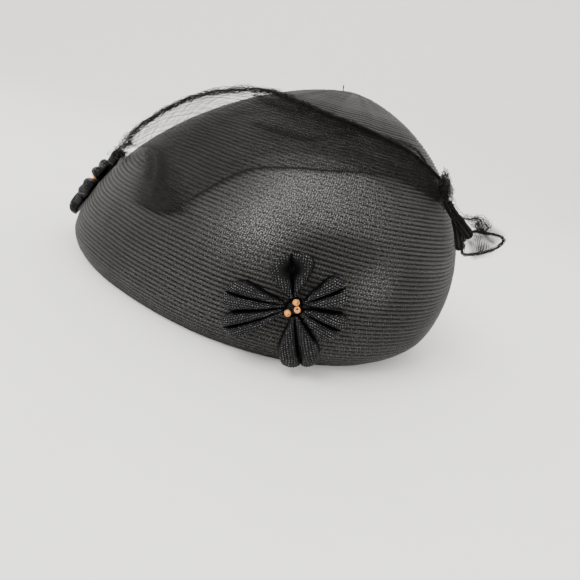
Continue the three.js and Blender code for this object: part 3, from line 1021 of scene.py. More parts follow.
    def heart_shape(self) -> Shape:
        """The low boss of stitched braid ends."""
        rise = np.linspace(0, 1, self.heart_rows)[:, None]
        angle = round_turn(self.heart_sides)[None, :]
        twist = np.sin(angle * self.heart_ridges + rise * self.heart_twist)
        inwards = np.cos(rise * np.pi / 2 * self.heart_closing) ** 0.5
        radius = self.heart_radius * inwards * (1 + self.heart_ridge_height * twist)
        lift = SEAT + self.heart_height * np.sin(rise * np.pi / 2) * self.heart_fullness
        points = self.form.patch(self.place)(-radius * np.cos(angle), radius * np.sin(angle), lift)
        round_heart = np.linspace(0, TURN * self.heart_radius, self.heart_sides + 1)[None, :]
        pattern = grid_pattern(round_heart, rise * self.heart_height)
        # The tone follows the heart's twisted ridges: painted shade between them, lighter on their crests.
        shape = grid_shape(points, pattern, self.shaded_tone * (1 + twist), wrapped=True, flip=True)
        shape.close_ends(self.heart_sides)
        shape.caps = [cap[::-1] for cap in shape.caps]
        return shape

    def bead_shape(self, bead: Bead) -> Shape:
        """A seed bead: a rounded ring whose hole looks outwards and to one side."""
        reach = self.heart_radius * bead.reach
        turn = math.radians(bead.turn)
        dome = self.heart_height * (1 - self.bead_sink * bead.reach**2)
        lift = SEAT + dome + self.bead_gap + self.bead_radius
        at = self.form.patch(self.place)
        centre = at(np.array(reach * math.cos(turn)), np.array(reach * math.sin(turn)), lift)
        across, up, outward = self.form.axes(self.place)
        lean, tip = (math.tan(math.radians(angle)) for angle in (bead.lean, bead.tip))
        axis = unit(outward + lean * across + tip * up)
        right = unit(np.cross([0, 0, 1.0], axis))
        front = np.cross(axis, right)
        ring = round_turn(self.bead_rings)[:, None, None]
        angle = round_turn(self.bead_sides)[None, :, None]
        tube = self.bead_radius * (1 - self.bead_hole) / 2
        out = self.bead_radius - tube + tube * np.cos(ring)
        rise = self.bead_flatness * self.bead_radius * np.sin(ring)
        points = centre + out * (np.cos(angle) * right + np.sin(angle) * front) + rise * axis
        round_bead = np.linspace(0, TURN * self.bead_radius, self.bead_sides + 1)[None, :]
        round_ring = np.linspace(0, TURN * tube, self.bead_rings + 1)[:, None]
        return grid_shape(points, grid_pattern(round_bead, round_ring), wrapped=True, closed=True, flip=True)

    def build(self, braid: bpy.types.Material, glass: bpy.types.Material) -> None:
        """Builds the flower's pieces."""
        for index, petal in enumerate(self.petals):
            node = f"{self.prefix}_petal_{petal.name}"
            make_piece(f"{node}_braid", self.petal_shape(index), braid, [node])
        heart = f"{self.prefix}_heart"
        make_piece(f"{heart}_braid", self.heart_shape(), braid, [heart])
        for number, bead in enumerate(self.beads, 1):
            node = f"{self.prefix}_bead_{number}"
            make_piece(f"{node}_glass", self.bead_shape(bead), glass, [node])


class Station(NamedTuple):
    """Borders of the veil at one station, the bow between them, and how far the upper floats free."""

    low_tip: float
    low_turn: float
    high_tip: float
    high_turn: float
    bow: float
    rise: float

    def between(self, across: np.ndarray) -> tuple[np.ndarray, np.ndarray]:
        """Place at a share of the way from the lower border to the upper."""
        bulge = self.bow * np.sin(np.pi * np.clip(across, 0, 1))
        from_tip = self.low_tip + (self.high_tip - self.low_tip) * across - bulge
        return from_tip, self.low_turn + (self.high_turn - self.low_turn) * across


class Fold(NamedTuple):
    """A fold of net that lies on the veil: its line of places, threads, width, height and haze."""

    name: str
    line: tuple[Place, ...]
    strands: int
    spread: float
    lift: float
    haze: float


@dataclass
class NetVeil:
    """The veil: a band of net in one layer, drawn over the front of the crown, pleated and hazy."""

    form: CrownForm
    arch_rise: float = 8.0
    pleat_rise: float = 1.5
    pleat_count: int = 3
    thread_radius: float = 0.085
    seed: int = 11

    # The meshes: fullness of the net, mesh widths of its layers, and how uneven the threads run
    fullness: float = 1.35
    mesh_pitches: tuple[float, ...] = (3.0, 4.2)
    mesh_stretch: float = 1.7
    mesh_points: int = 5
    mesh_seat: float = 0.2
    layer_step: float = 0.4
    layer_waver: float = 0.25
    looseness: float = 0.16
    slow_drift: float = 0.010
    quick_drift: float = 0.007
    slide: float = 0.008

    # The haze: its height, its cover on the crown, at the ends and where the net floats free
    sheet_columns: int = 170
    sheet_rows: int = 60
    sheet_seat: float = 0.3
    calm_haze: float = 0.1
    free_haze: float = 0.3
    most_haze: float = 0.9
    end_haze: float = 0.2
    gather_reach: float = 0.04
    knot_reach: float = 0.06
    free_reach: float = 3.2

    # The borders: threads and spread of the lower, and how thick and how loose both lie
    border_steps: int = 240
    low_strands: int = 9
    low_spread: float = 0.55
    high_strands: int = 52
    border_seat: float = 0.4
    border_lift: float = 0.45
    border_most: float = 3.5
    border_scatter: float = 0.8
    border_margin: float = 0.03

    # The folds: steps along them, scatter of their threads, and how they narrow at their right end
    fold_steps: int = 160
    fold_seat: float = 0.7
    fold_scatter: float = 0.6
    fold_most: float = 1.4
    fold_narrowing: float = 0.75
    fold_end: float = 0.25

    stations: tuple[Station, ...] = (
        Station(64.4, -116, 62, -164, 7.5, 0.6),
        Station(60, -114, 55, -167, 6, 0.9),
        Station(54, -110, 46, -168, 4, 1.0),
        Station(50, -105, 36, -166, 2, 0.8),
        Station(47, -95, 25.4, -152, 0, 0.1),
        Station(45, -84, 26.6, -118, 0, 0),
        Station(43, -73, 28.8, -90, 0, 0),
        Station(42, -64, 30.6, -71, 0, 0),
        Station(42.6, -56, 33.5, -54, 0, 0),
        Station(44.6, -47, 38.5, -40, 0, 0),
        Station(46.2, -42, 42.8, -36.5, 0, 0.3),
    )

    folds: tuple[Fold, ...] = (
        Fold(
            "upper",
            (
                (28.4, -163), (30.2, -126), (30.3, -107), (31, -93), (31, -83.5), (30.8, -70), (31.7, -51),
                (34.1, -45), (40.5, -41.5),
            ),
            16, 1.5, 0.9, 0.12,
        ),
        Fold(
            "middle",
            ((37.8, -125), (37.9, -109), (37.6, -99), (37, -93), (33.7, -85), (32, -76)),
            8, 1.8, 0.7, 0.1,
        ),
    )

    # Places along the veil's left end, from its lower border up, and how far along the veil it pulls
    end_line: tuple[Place, ...] = (
        (66.7, -119), (64, -126.5), (60, -134), (56.6, -142), (55.5, -150), (58, -158), (62, -164),
    )
    end_reach: float = 0.14

    # Spread of the upper border's threads in millimetres, at shares of its length
    arch_places: tuple[float, ...] = (0, 0.05, 0.12, 0.22, 0.34, 0.5, 0.8, 1)
    arch_spreads: tuple[float, ...] = (6.5, 4.6, 3.0, 2.8, 4.6, 3.6, 2.6, 1.4)

    def place(self, along: np.ndarray, across: np.ndarray) -> tuple[np.ndarray, np.ndarray, np.ndarray]:
        """Places of the veil on the crown, and how far it floats free of it.

        Args:
            along: Shares from the gather to the knot.
            across: Shares from the lower border to the upper.

        Returns:
            Degrees from the tip, degrees round the crown, and millimetres off it.
        """
        here = Station(*smooth_rows(self.stations, along))
        from_tip, turn = here.between(across)
        start_tip, start_turn = self.stations[0].between(across)
        end_tip, end_turn = smooth_rows(self.end_line, across)
        pull = np.clip(1 - along / self.end_reach, 0, 1) ** 2
        from_tip = from_tip + pull * (end_tip - start_tip)
        turn = turn + pull * (end_turn - start_turn)
        return from_tip, turn, self.arch_rise * np.maximum(here.rise, 0) * np.maximum(across, 0) ** 2

    def point(self, along: np.ndarray, across: np.ndarray, off: np.ndarray | float) -> np.ndarray:
        """Points of the veil, at a distance off its seat on the crown."""
        from_tip, turn, free = self.place(along, across)
        drawn = np.sin(np.pi * np.clip(along, 0, 1)) ** 2
        pleat = self.pleat_rise * drawn * (1 - np.cos(TURN * self.pleat_count * across)) / 2
        return self.form.off(from_tip, turn, SEAT + off + free + pleat)

    def span(self) -> Place:
        """Mean length of the veil and its greatest width, in millimetres."""
        share = np.linspace(0, 1, 200)
        middle = self.point(share, np.full(200, 0.5), 0.0)
        across = self.point(share[:, None], share[None, :], 0.0)
        return float(gaps(middle).sum()), float(gaps(across, axis=1).sum(axis=1).max())

    def haze_at(self, along: np.ndarray, across: np.ndarray) -> np.ndarray:
        """Cover of the haze: thin where the net floats free, thick at its folds and its gather."""
        from_tip, turn, free = self.place(along, across)
        ends = hump(along, 0, self.gather_reach) + hump(along, 1, self.knot_reach)
        haze = self.calm_haze + self.end_haze * ends
        for fold in self.folds:
            tips, turns = zip(*fold.line)
            apart = (from_tip - np.interp(turn, turns, tips)) * self.form.per_degree(fold.line[2])[0]
            inside = (turn > turns[0]) & (turn < turns[-1])
            haze = haze + fold.haze * inside * hump(apart, 0, 2 * fold.spread)
        more = np.clip(haze, 0, self.most_haze) - self.free_haze
        return self.free_haze + more * hump(free, 0, self.free_reach)

    def sheet_grid(self) -> tuple[np.ndarray, np.ndarray]:
        """Shares along and across the veil's sheet."""
        return np.linspace(0, 1, self.sheet_columns)[:, None], np.linspace(0, 1, self.sheet_rows)[None, :]

    def sheet_shape(self) -> Shape:
        """The haze of the finest meshes, as one pleated sheet."""
        along, across = self.sheet_grid()
        length, width = self.span()
        pattern = grid_pattern(along * length, across * width)
        return grid_shape(self.point(along, across, self.sheet_seat), pattern, self.haze_at(along, across))

    def net_shape(self, layer: int) -> Shape:
        """One layer of knotted net: wavy threads that meet their neighbours between the meshes."""
        rng = np.random.default_rng(self.seed + layer)
        pitch = self.mesh_pitches[layer]
        length, width = self.span()
        threads = int(self.fullness * width / pitch)
        meshes = length / (self.mesh_stretch * pitch)
        along = strand_shares(threads, int(meshes * self.mesh_points))
        thread = np.arange(threads)[:, None]
        tooth = np.cos(TURN * meshes * along + np.pi * thread) / 2
        across = (thread + 0.5 + tooth) / threads
        start = rng.uniform(0, TURN)
        drift = self.slow_drift * np.sin(17 * along + 9 * across + start)
        drift = drift + self.quick_drift * np.sin(43 * along - 21 * across + start)
        drift = drift + self.looseness / threads * wander(rng, along, 9, 23, 41)
        slide = self.slide * np.sin(13 * across + 11 * along + start)
        waver = self.layer_waver * wander(rng, along, 13, 37)
        off = self.mesh_seat + self.layer_step * layer + waver
        points = self.point(np.clip(along + slide, 0, 1), np.clip(across + drift, 0, 1), off)
        return strand_shape(points, self.thread_radius)

    def border_shape(self, across: float, strands: int, spread: np.ndarray) -> Shape:
        """A border: the net's edge drawn together into a loose cord of threads."""
        rng = np.random.default_rng(self.seed + strands)
        along = strand_shares(strands, self.border_steps)
        aside = self.border_scatter * rng.uniform(-1, 1, (strands, 1)) + wander(rng, along, 7, 17, 39)
        lift = self.border_lift * (1 + wander(rng, along, 7, 17, 39))
        place = across + (aside - across) * spread / self.span()[1]
        place = np.clip(place, -self.border_margin, 1 + self.border_margin)
        off = self.border_seat + lift * np.minimum(spread, self.border_most)
        return strand_shape(self.point(along, place, off), self.thread_radius)

    def fold_shape(self, fold: Fold) -> Shape:
        """A fold of net: threads that run side by side along a line of places on the crown."""
        rng = np.random.default_rng(self.seed + 2 * fold.strands)
        share = strand_shares(fold.strands, self.fold_steps)
        from_tip, turn = smooth_rows(fold.line, share)
        aside = rng.normal(0, self.fold_scatter, (fold.strands, 1))
        aside = aside + self.fold_scatter * wander(rng, share, 3, 9, 23)
        height = rng.uniform(0, 1, (fold.strands, 1)) + 0.5 * wander(rng, share, 3, 9, 23)
        narrow = 1 - self.fold_narrowing * hump(share, 1, self.fold_end)
        tip = from_tip + fold.spread * aside * narrow / self.form.per_degree(fold.line[2])[0]
        off = SEAT + self.fold_seat + fold.lift * np.clip(height, 0, self.fold_most)
        return strand_shape(self.form.off(tip, turn, off), self.thread_radius)

    def build(self, thread: bpy.types.Material, sheer: bpy.types.Material) -> None:
        """Builds the veil's pieces."""
        length, width = self.span()
        sheet = make_piece("veil_net_haze", self.sheet_shape(), sheer, ["veil_net"])
        layers = [self.net_shape(layer) for layer in range(len(self.mesh_pitches))]
        along = np.linspace(0, 1, self.border_steps)
        low_spread = np.full(self.border_steps, self.low_spread)
        high_spread = np.interp(along, self.arch_places, self.arch_spreads)
        shapes = {
            "veil_net_meshes": join_shapes(layers),
            "veil_border_low": self.border_shape(0.0, self.low_strands, low_spread),
            "veil_border_high": self.border_shape(1.0, self.high_strands, high_spread),
            **{f"veil_fold_{fold.name}": self.fold_shape(fold) for fold in self.folds},
        }
        pieces = [make_piece(name, shape, thread) for name, shape in shapes.items()]
        sheet_area(self.point(*self.sheet_grid(), 0.0), (width, length))


class Bunch(NamedTuple):
    """A crumpled bunch of net: middle, size, threads, haze, and the ends that it is drawn out to."""

    name: str
    place: Place
    radius: float
    lift: float
    strands: int
    layers: int
    cover: float
    stretch: tuple[float, float, float]
    ends: tuple[tuple[float, float, float], tuple[float, float, float]]


@dataclass
class BunchedNet:
    """Net drawn up at the ends of the veil: the sewn gather, the tuft over it and the knot."""

    form: CrownForm
    thread_radius: float = 0.09
    seed: int = 23

    # The gather: its flat size, height, darkest side, layers of haze, threads, and their scatter
    gather_size: tuple[float, float] = (34.0, 62.0)
    gather_height: float = 3.8
    gather_dark: float = -0.1
    gather_dark_reach: float = 0.4
    gather_layers: int = 3
    gather_grid: tuple[int, int] = (70, 48)
    gather_seat: float = 0.15
    gather_ripple: float = 0.45
    gather_strands: int = 34
    gather_steps: int = 60
    gather_scatter: float = 0.3
    gather_waver: float = 0.4
    level_waver: float = 0.35
    strand_seat: float = 0.2
    shortest_strand: float = 0.35

    # The bunches: points and share of a turn of each loop, its least size, and its size at the first end
    loop_steps: int = 44
    loop_turn: float = 0.85
    loop_least: float = 0.3
    loop_waver: float = 0.5
    loop_start: float = 0.55

    # Their haze: rows and sides of a layer, its open poles, its creases, and the next layer's loss
    crumple_grid: tuple[int, int] = (44, 60)
    crumple_pole: float = 0.03
    crumple_creases: int = 5
    crumple_sharpness: float = 3.0
    crumple_size: tuple[float, float] = (0.45, 0.8)
    crumple_tone: tuple[float, float] = (0.4, 1.2)
    crumple_loss: float = 0.2

    # The gather's left edge, its middle and its right edge, each from its foot up
    gather_lines: tuple[tuple[Place, ...], ...] = (
        ((68.5, -137), (66, -139), (62.9, -141.7), (60.2, -149), (58.6, -158)),
        ((67.4, -120), (63.8, -125.7), (59.8, -134.7), (56.7, -143.5), (54.5, -152)),
        ((62.6, -111), (60.4, -117), (58.0, -125.5), (54.8, -135.5), (52.0, -145)),
    )
    gather_along: tuple[float, ...] = (0, 0.08, 0.2, 0.4, 0.6, 0.8, 0.94, 1.0)
    gather_heights: tuple[float, ...] = (0.3, 0.85, 1.0, 0.8, 0.62, 0.7, 0.6, 0.3)
    gather_cover: tuple[float, ...] = (0.5, 0.72, 0.4, 0.24, 0.2, 0.2, 0.14, 0.03)

    bunches: tuple[Bunch, ...] = (
        Bunch("tuft", (62.5, -168.4), 4.6, 4.6, 40, 2, 0.12, (1, 0.8, 0.8), ((-5, 0, -1.5), (5.5, 0, 0.5))),
        Bunch("knot", (44.7, -41.5), 4.4, 4.2, 80, 2, 0.3, (0.9, 1.5, 0.85), ((-2.8, 0, 8), (1.2, 0, -2))),
    )

    def gather_frame(self, share: np.ndarray, side: np.ndarray) -> tuple[np.ndarray, ...]:
        """Place on the crown, height and cover of the gather, from its foot up and from side to side."""
        weights = (side * (side - 1) / 2, 1 - side**2, side * (side + 1) / 2)
        lines = [smooth_rows(line, share) for line in self.gather_lines]
        from_tip, turn = (sum(w * line[axis] for w, line in zip(weights, lines)) for axis in (0, 1))
        heights, cover = (
            np.interp(share, self.gather_along, column) for column in (self.gather_heights, self.gather_cover)
        )
        return from_tip, turn, self.gather_height * heights, cover

    def pleats_shape(self) -> Shape:
        """Layers of sheer net pleated side by side, dense at the foot and thin at the edges."""
        rng = np.random.default_rng(self.seed)
        rows, columns = self.gather_grid
        share, side = np.linspace(0, 1, rows)[:, None], np.linspace(-1, 1, columns)[None, :]
        from_tip, turn, height, cover = self.gather_frame(share, side)
        dome = np.sqrt(1 - side**2)
        wide, long = self.gather_size
        sheets = []
        for layer in range(self.gather_layers):
            quick, slow, start = rng.uniform(7, 13), rng.uniform(4, 8), rng.uniform(0, TURN)
            ripple = np.sin(side * quick + 2 * np.sin(share * slow) + start)
            level = (layer + 0.5 + self.gather_ripple * ripple) / self.gather_layers
            points = self.form.off(from_tip, turn, SEAT + self.gather_seat + level * height * dome)
            dense = (1 - side**2) ** 2 * (0.5 + 0.6 * hump(side, self.gather_dark, self.gather_dark_reach))
            tone = cover * dense * (0.75 + 0.35 * ripple)
            sheets.append(grid_shape(points, grid_pattern(side * wide / 2, share * long), tone))
        return join_shapes(sheets)

    def strands_shape(self) -> Shape:
        """Threads drawn along the gather, denser at its foot."""
        rng = np.random.default_rng(self.seed + 1)
        strands = self.gather_strands
        share = strand_shares(strands, self.gather_steps) * rng.uniform(self.shortest_strand, 1, (strands, 1))
        side = rng.normal(self.gather_dark, self.gather_scatter, (strands, 1))
        side = np.clip(side + self.gather_waver * wander(rng, share, 1, 3, 7), -1, 1)
        from_tip, turn, height, _ = self.gather_frame(share, side)
        level = rng.uniform(0, 1, (strands, 1)) + self.level_waver * wander(rng, share, 3, 7, 15)
        off = SEAT + self.strand_seat + np.clip(level, 0, 1) * np.sqrt(1 - side**2) * height
        return strand_shape(self.form.off(from_tip, turn, off), self.thread_radius)

    def loops_shape(self, bunch: Bunch) -> Shape:
        """Loops of thread laid round a middle in all directions."""
        rng = np.random.default_rng(self.seed + bunch.strands)
        strands = bunch.strands
        share = np.linspace(0, self.loop_turn, self.loop_steps)[None, :] + rng.uniform(0, 1, (strands, 1))
        first = unit(rng.standard_normal((strands, 1, 3)))
        second = unit(np.cross(first, rng.standard_normal((strands, 1, 3))))
        size = bunch.radius * rng.uniform(self.loop_least, 1, (strands, 1))
        size = size * (1 + self.loop_waver * wander(rng, share, 2, 5, 9))
        angle = (TURN * share)[..., None]
        loop = size[..., None] * (np.cos(angle) * first + np.sin(angle) * second)
        drawn = rng.uniform(0, 1, (strands, 1, 1))
        start, stop = np.array(bunch.ends)
        centre = self.form.off(*bunch.place, bunch.lift) + start + (stop - start) * drawn
        loop = loop * (self.loop_start + (1 - self.loop_start) * drawn)
        return strand_shape(centre + loop * bunch.stretch @ self.form.axes(bunch.place), self.thread_radius)

    def crumple_shape(self, bunch: Bunch) -> Shape:
        """Crumpled layers of sheer net, one inside the other."""
        rng = np.random.default_rng(self.seed + 2 * bunch.strands)
        rows, sides = self.crumple_grid
        polar = np.linspace(self.crumple_pole, np.pi - self.crumple_pole, rows)[:, None]
        angle = round_turn(sides)[None, :]
        parts = (np.sin(polar) * np.cos(angle), np.sin(polar) * np.sin(angle), np.cos(polar))
        facing = np.stack(np.broadcast_arrays(*parts), axis=-1)
        centre = self.form.off(*bunch.place, bunch.lift) + np.mean(bunch.ends, axis=0)
        sheets = []
        for layer in range(bunch.layers):
            waves = rng.normal(0, self.crumple_sharpness, (self.crumple_creases, 3))
            starts = rng.uniform(0, TURN, self.crumple_creases)
            fold = 1 - np.abs(np.sin(facing @ waves.T + starts)).mean(axis=-1)
            least, more = self.crumple_size
            size = bunch.radius * (least + more * fold) * (1 - self.crumple_loss * layer)
            points = centre + size[..., None] * facing * bunch.stretch @ self.form.axes(bunch.place)
            span = np.linspace(0, TURN * bunch.radius, sides + 1)[None, :]
            pale, darker = self.crumple_tone
            tone = np.clip(bunch.cover * (pale + darker * fold), 0, 1)
            sheets.append(grid_shape(points, grid_pattern(span, polar * bunch.radius), tone, wrapped=True))
        return join_shapes(sheets)

    def build(self, thread: bpy.types.Material, sheer: bpy.types.Material) -> None:
        """Builds the gather and the bunches."""
        make_piece("veil_gather_haze", self.pleats_shape(), sheer, ["veil_gather"])
        make_piece("veil_gather_pleats", self.strands_shape(), thread)
        for bunch in self.bunches:
            node = f"veil_{bunch.name}"
            make_piece(f"{node}_haze", self.crumple_shape(bunch), sheer, [node])
            make_piece(f"{node}_loops", self.loops_shape(bunch), thread)


class Ray(NamedTuple):
    """One ray across the tail's fan: direction, length and fold, as shares of the tail's own."""

    turn: float
    length: float
    fold: float


class HazePatch(NamedTuple):
    """A patch of denser haze in the fan: its middle, its reaches, its cover and how sharp its edge is."""

    turn: float
    distance: float
    turn_reach: float
    distance_reach: float
    haze: float
    power: int


class Cord(NamedTuple):
    """Net drawn together along a line in the fan: its threads and their spread."""

    line: tuple[Place, ...]
    strands: int
    spread: float


class Ribbon(NamedTuple):
    """A strip of net folded lengthwise along a line in the fan, and half its width."""

    line: tuple[Place, ...]
    half_width: float


@dataclass
class VeilTail:
    """The tail: a folded fan of net that hangs from the knot, with a loop of drawn net in it."""

    form: CrownForm
    place: Place = (44.7, -41.5)
    lift: float = 4.9
    clear: float = 5.4
    reach: float = 38.0
    fold: float = 2.6
    flat: tuple[float, float] = (62.0, 30.0)
    across: tuple[float, float] = (7.0, 14.0)
    hang: tuple[float, float] = (-52.0, -64.0)
    thread_radius: float = 0.09
    sheet_rays: int = 90
    sheet_steps: int = 44
    cord_steps: int = 120
    cord_sway: float = 0.65
    ribbon_grid: tuple[int, int] = (60, 24)
    ribbon_start: float = 0.75
    ribbon_widening: float = 0.35
    ribbon_closing: float = 0.9
    ribbon_end: int = 14
    ribbon_wave: float = 0.3
    seed: int = 31

    rays: tuple[Ray, ...] = (
        Ray(76, 0.7, 0.3),
        Ray(69, 0.84, -0.7),
        Ray(61, 0.88, 0.8),
        Ray(52, 0.94, -0.6),
        Ray(44, 1.0, 0.7),
        Ray(37, 0.97, -0.8),
        Ray(29, 0.66, 0.6),
        Ray(20, 0.4, -0.2),
    )

    # The crumple above the loop, the loop and the root at the knot
    thin_haze: float = 0.015
    most_haze: float = 0.95
    patches: tuple[HazePatch, ...] = (
        HazePatch(42, 20, 8, 3.6, 0.75, 1),
        HazePatch(54, 27.5, 17, 5.5, 0.93, 2),
        HazePatch(66, 5, 16, 5, 0.5, 1),
    )

    # The loop's border, the fold above it and the crumple, as directions and distances in the fan
    cords: tuple[Cord, ...] = (
        Cord(
            (
                (70, 24), (74, 28), (64, 30.2), (52.5, 32.4), (44.2, 33.6), (39.5, 33.4), (38.4, 30.8),
                (43.3, 26), (52, 21.5), (62, 20.5), (70, 23),
            ),
            26, 0.75,
        ),
        Cord(((80, 4), (71, 8), (64, 14), (62, 20), (63, 23)), 16, 2.4),
        Cord(((54, 13), (45, 16), (38, 18), (37, 22.5), (44, 24), (47, 20), (41, 19)), 18, 1.8),
    )
    ribbons: tuple[Ribbon, ...] = (
        Ribbon(((80, 4), (71, 8), (64, 14), (62, 20), (63, 23)), 2.8),
        Ribbon(((70, 12), (71, 17), (74.5, 21.5), (77.5, 26.5)), 2.6),
    )

    @staticmethod
    def bearing(turn: float, rise: float) -> np.ndarray:
        """Direction with a turn round the vertical and a rise above the horizontal."""
        turn, rise = math.radians(turn), math.radians(rise)
        return np.array([math.cos(rise) * math.cos(turn), math.cos(rise) * math.sin(turn), math.sin(rise)])

    def fan_point(self, turn: np.ndarray, reach: np.ndarray, wave: np.ndarray) -> np.ndarray:
        """Points of the fan: direction in it, distance from the knot and distance in front of it."""
        root = self.form.off(*self.place, self.lift)
        across, hang = self.bearing(*self.across), self.bearing(*self.hang)
        outward = unit(np.cross(across, hang))
        angle = np.radians(turn)[..., None]
        level = reach[..., None] * (np.cos(angle) * across + np.sin(angle) * hang)
        return root + level + wave[..., None] * outward

    def frame(self, ray: np.ndarray, share: np.ndarray) -> tuple[np.ndarray, np.ndarray, np.ndarray]:
        """Direction, distance and fold of the sheet: ray across the fan, share from the knot out."""
        turn, length, fold = smooth_rows(self.rays, ray)
        return turn, self.clear + (self.reach * length - self.clear) * share, self.fold * fold * share

    def sheet_points(self) -> tuple[np.ndarray, np.ndarray]:
        """Points and haze of the tail's sheet."""
        share = strand_shares(self.sheet_rays, self.sheet_steps)
        turn, reach, wave = self.frame(np.linspace(0, 1, self.sheet_rays)[:, None], share)
        haze = self.thin_haze
        for patch in self.patches:
            down = ((turn - patch.turn) / patch.turn_reach) ** 2
            out = ((reach - patch.distance) / patch.distance_reach) ** 2
            haze = haze + patch.haze * np.exp(-(down**patch.power) - out**patch.power)
        return self.fan_point(turn, reach, wave), np.clip(haze, 0, self.most_haze)

    def ribbon_shape(self, ribbon: Ribbon) -> Shape:
        """Mesh of a ribbon, which widens along its line and closes at its end."""
        rows, columns = self.ribbon_grid
        share, side = np.meshgrid(np.linspace(0, 1, rows), np.linspace(-1, 1, columns), indexing="ij")
        turn, reach = smooth_rows(ribbon.line, share)
        width = ribbon.half_width * (self.ribbon_start + self.ribbon_widening * share)
        width = width * (1 - self.ribbon_closing * share**self.ribbon_end)
        pleats = np.cos(2.5 * np.pi * side + 2 * share) + np.sin(5 * share)
        wave = self.fold * self.ribbon_wave * pleats
        points = self.fan_point(turn + np.degrees(side * width / reach), reach, wave)
        return grid_shape(points, grid_pattern(side * ribbon.half_width, share * self.flat[1]))

    def cord_shape(self, cord: Cord, seed: int) -> Shape:
        """Threads that run side by side along a cord's line."""
        rng = np.random.default_rng(seed)
        share = strand_shares(cord.strands, self.cord_steps)
        turn, reach = smooth_rows(cord.line, share)
        aside, out, wave = (
            cord.spread * (rng.normal(0, 0.5, (cord.strands, 1)) + 0.5 * wander(rng, share, 2, 5, 11))
            for _ in range(3)
        )
        wave = wave + self.cord_sway * np.sin(3 * np.pi * share)
        points = self.fan_point(turn + np.degrees(aside / reach), reach + out, wave)
        return strand_shape(points, self.thread_radius)

    def build(self, thread: bpy.types.Material, sheer: bpy.types.Material) -> None:
        """Builds the tail's pieces."""
        points, haze = self.sheet_points()
        wide, long = self.flat
        pattern = grid_pattern(
            np.linspace(0, wide, self.sheet_rays)[:, None], np.linspace(0, long, self.sheet_steps)[None, :]
        )
        sheet = make_piece(
            "veil_tail_haze", grid_shape(points, pattern, haze), sheer, ["veil_tail"]
        )
        ribbons = [self.ribbon_shape(ribbon) for ribbon in self.ribbons]
        folds = make_piece("veil_tail_folds", join_shapes(ribbons), thread)
        cords = [self.cord_shape(cord, self.seed + number) for number, cord in enumerate(self.cords)]
        net = make_piece("veil_tail_meshes", join_shapes(cords), thread)


@dataclass
class LooseThreads:
    """A stub of thread ends that stands up at the crown's tip."""

    form: CrownForm
    stub_place: Place = (5.9, -138.0)
    stub_height: float = 2.6
    radius: float = 0.3

    # Where each thread's end leans to, in degrees down the crown and round it
    leans: tuple[Place, ...] = ((0.6, 5.0), (-0.4, -7.0), (0.1, 1.0))

    def build(self, thread: bpy.types.Material) -> None:
        """Builds the threads."""
        steps = np.linspace(0, 1, 24)
        tips, turns = (
            place + np.outer(leans, steps) for place, leans in zip(self.stub_place, zip(*self.leans))
        )
        stub = strand_shape(self.form.off(tips, turns, self.stub_height * steps), self.radius)
        make_piece("loose_threads", stub, thread)


@dataclass(frozen=True)
class SoftLight:
    """A square soft light: name, place and size in metres, and power in watts."""

    name: str
    place: tuple[float, float, float]
    size: float
    power: float


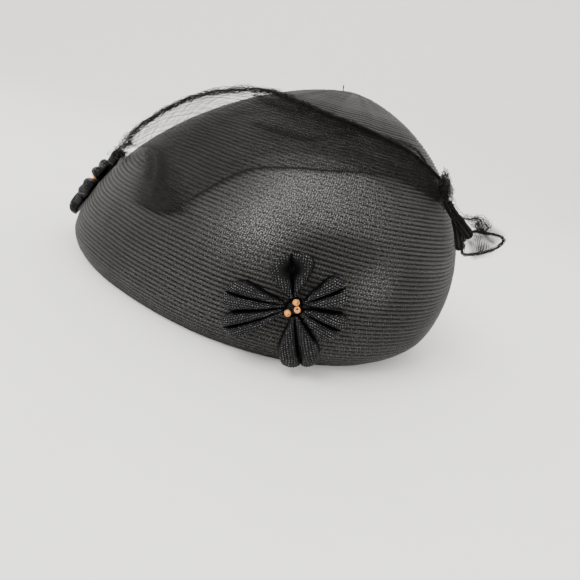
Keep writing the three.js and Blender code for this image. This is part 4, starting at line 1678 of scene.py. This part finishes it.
@dataclass
class Studio:
    """Pale seamless floor, soft lights and the camera at the photograph's angle."""

    camera_place: tuple[float, float, float] = (31.46, -267.69, 106.02)
    camera_heading: float = 90.78
    camera_pitch: float = -21.6
    camera_roll: float = 15.42
    lens: float = 27.06
    sensor: float = 36.0
    sky: int = 0xF6F5F3
    sky_strength: float = 2.1
    aim: tuple[float, float, float] = (0.0, 0.0, 0.06)
    lights: tuple[SoftLight, ...] = (
        SoftLight("key_light", (-0.7, -0.8, 1.3), 0.9, 26.0),
        SoftLight("fill_light", (0.9, -0.7, 0.7), 0.9, 2.0),
        SoftLight("top_light", (0.3, 0.9, 1.1), 0.8, 3.0),
    )

    # The floor in metres: how far it runs forwards, where it starts to curve up, and the curve's radius
    floor_front: float = -3.0
    floor_back: float = 1.0
    floor_curve: float = 1.6
    floor_top: float = 4.0
    floor_half_width: float = 4.0
    floor_steps: int = 24

    def build_camera(self) -> None:
        """Places the camera and makes it the scene's own."""
        data = bpy.data.cameras.new("camera")
        data.lens = self.lens
        data.sensor_width = self.sensor
        data.clip_start = 1 * MM
        data.clip_end = 100.0
        camera = bpy.data.objects.new("camera", data)
        forward = Vector(VeilTail.bearing(self.camera_heading, self.camera_pitch))
        roll = Quaternion((0, 0, 1), math.radians(self.camera_roll))
        camera.rotation_mode = "QUATERNION"
        camera.rotation_quaternion = forward.to_track_quat("-Z", "Y") @ roll
        camera.location = Vector(self.camera_place) * MM
        bpy.context.scene.collection.objects.link(camera)
        bpy.context.scene.camera = camera

    def build_light(self, light: SoftLight) -> None:
        """Adds a soft light that looks at the hat."""
        data = bpy.data.lights.new(light.name, "AREA")
        data.shape = "SQUARE"
        data.size = light.size
        data.energy = light.power
        lamp = bpy.data.objects.new(light.name, data)
        lamp.location = light.place
        lamp.rotation_mode = "QUATERNION"
        lamp.rotation_quaternion = (Vector(self.aim) - Vector(light.place)).to_track_quat("-Z", "Y")
        bpy.context.scene.collection.objects.link(lamp)

    def build_floor(self, paper: bpy.types.Material) -> None:
        """Lays the floor, which curves up behind the hat into a wall."""
        angle = np.linspace(0, np.pi / 2, self.floor_steps)
        end = self.floor_back + self.floor_curve
        back = np.concatenate([[self.floor_front], self.floor_back + self.floor_curve * np.sin(angle), [end]])
        height = np.concatenate([[0], self.floor_curve * (1 - np.cos(angle)), [self.floor_top]])
        across = np.array([-self.floor_half_width, self.floor_half_width])[None, :]
        points = np.stack(np.broadcast_arrays(across, back[:, None], height[:, None]), axis=-1)
        shape = grid_shape(points, np.zeros((len(back), 2, 2)), flip=True)
        mesh = bpy.data.meshes.new("floor")
        mesh.from_pydata(shape.points.tolist(), [], shape.quads.tolist())
        mesh.shade_smooth()
        mesh.materials.append(paper)
        floor = bpy.data.objects.new("floor", mesh)
        bpy.context.scene.collection.objects.link(floor)

    def build_sky(self) -> None:
        """Lights the studio evenly from all round."""
        world = bpy.data.worlds.new("studio")
        world.use_nodes = True
        background = world.node_tree.nodes["Background"]
        background.inputs["Color"].default_value = linear_rgba(self.sky)
        background.inputs["Strength"].default_value = self.sky_strength
        bpy.context.scene.world = world

    def build(self, paper: bpy.types.Material) -> None:
        """Builds the whole studio."""
        self.build_floor(paper)
        self.build_sky()
        for light in self.lights:
            self.build_light(light)
        self.build_camera()


def main() -> None:
    """Builds the hat and the studio."""
    logging.basicConfig(level=logging.INFO, format="%(name)s: %(message)s")
    form = CrownForm()
    form.seat_on("crown")
    crown = StrawCrown(form)
    crown.build(StrawCloth(rib_pitch=crown.rib_pitch).material())
    braid, glass = StrawBraid().material(), AmberGlass().material()
    BraidFlower(form, "front", (76.6, -76.3)).build(braid, glass)
    BraidFlower(form, "side", (75.0, -180.0), petal_curl=4.0).build(braid, glass)
    thread, sheer = NetThread().material(), SheerNet().material()
    NetVeil(form).build(thread, sheer)
    BunchedNet(form).build(thread, sheer)
    VeilTail(form).build(thread, sheer)
    LooseThreads(form).build(thread)
    Studio().build(StudioPaper().material())


if __name__ == "__main__":
    main()
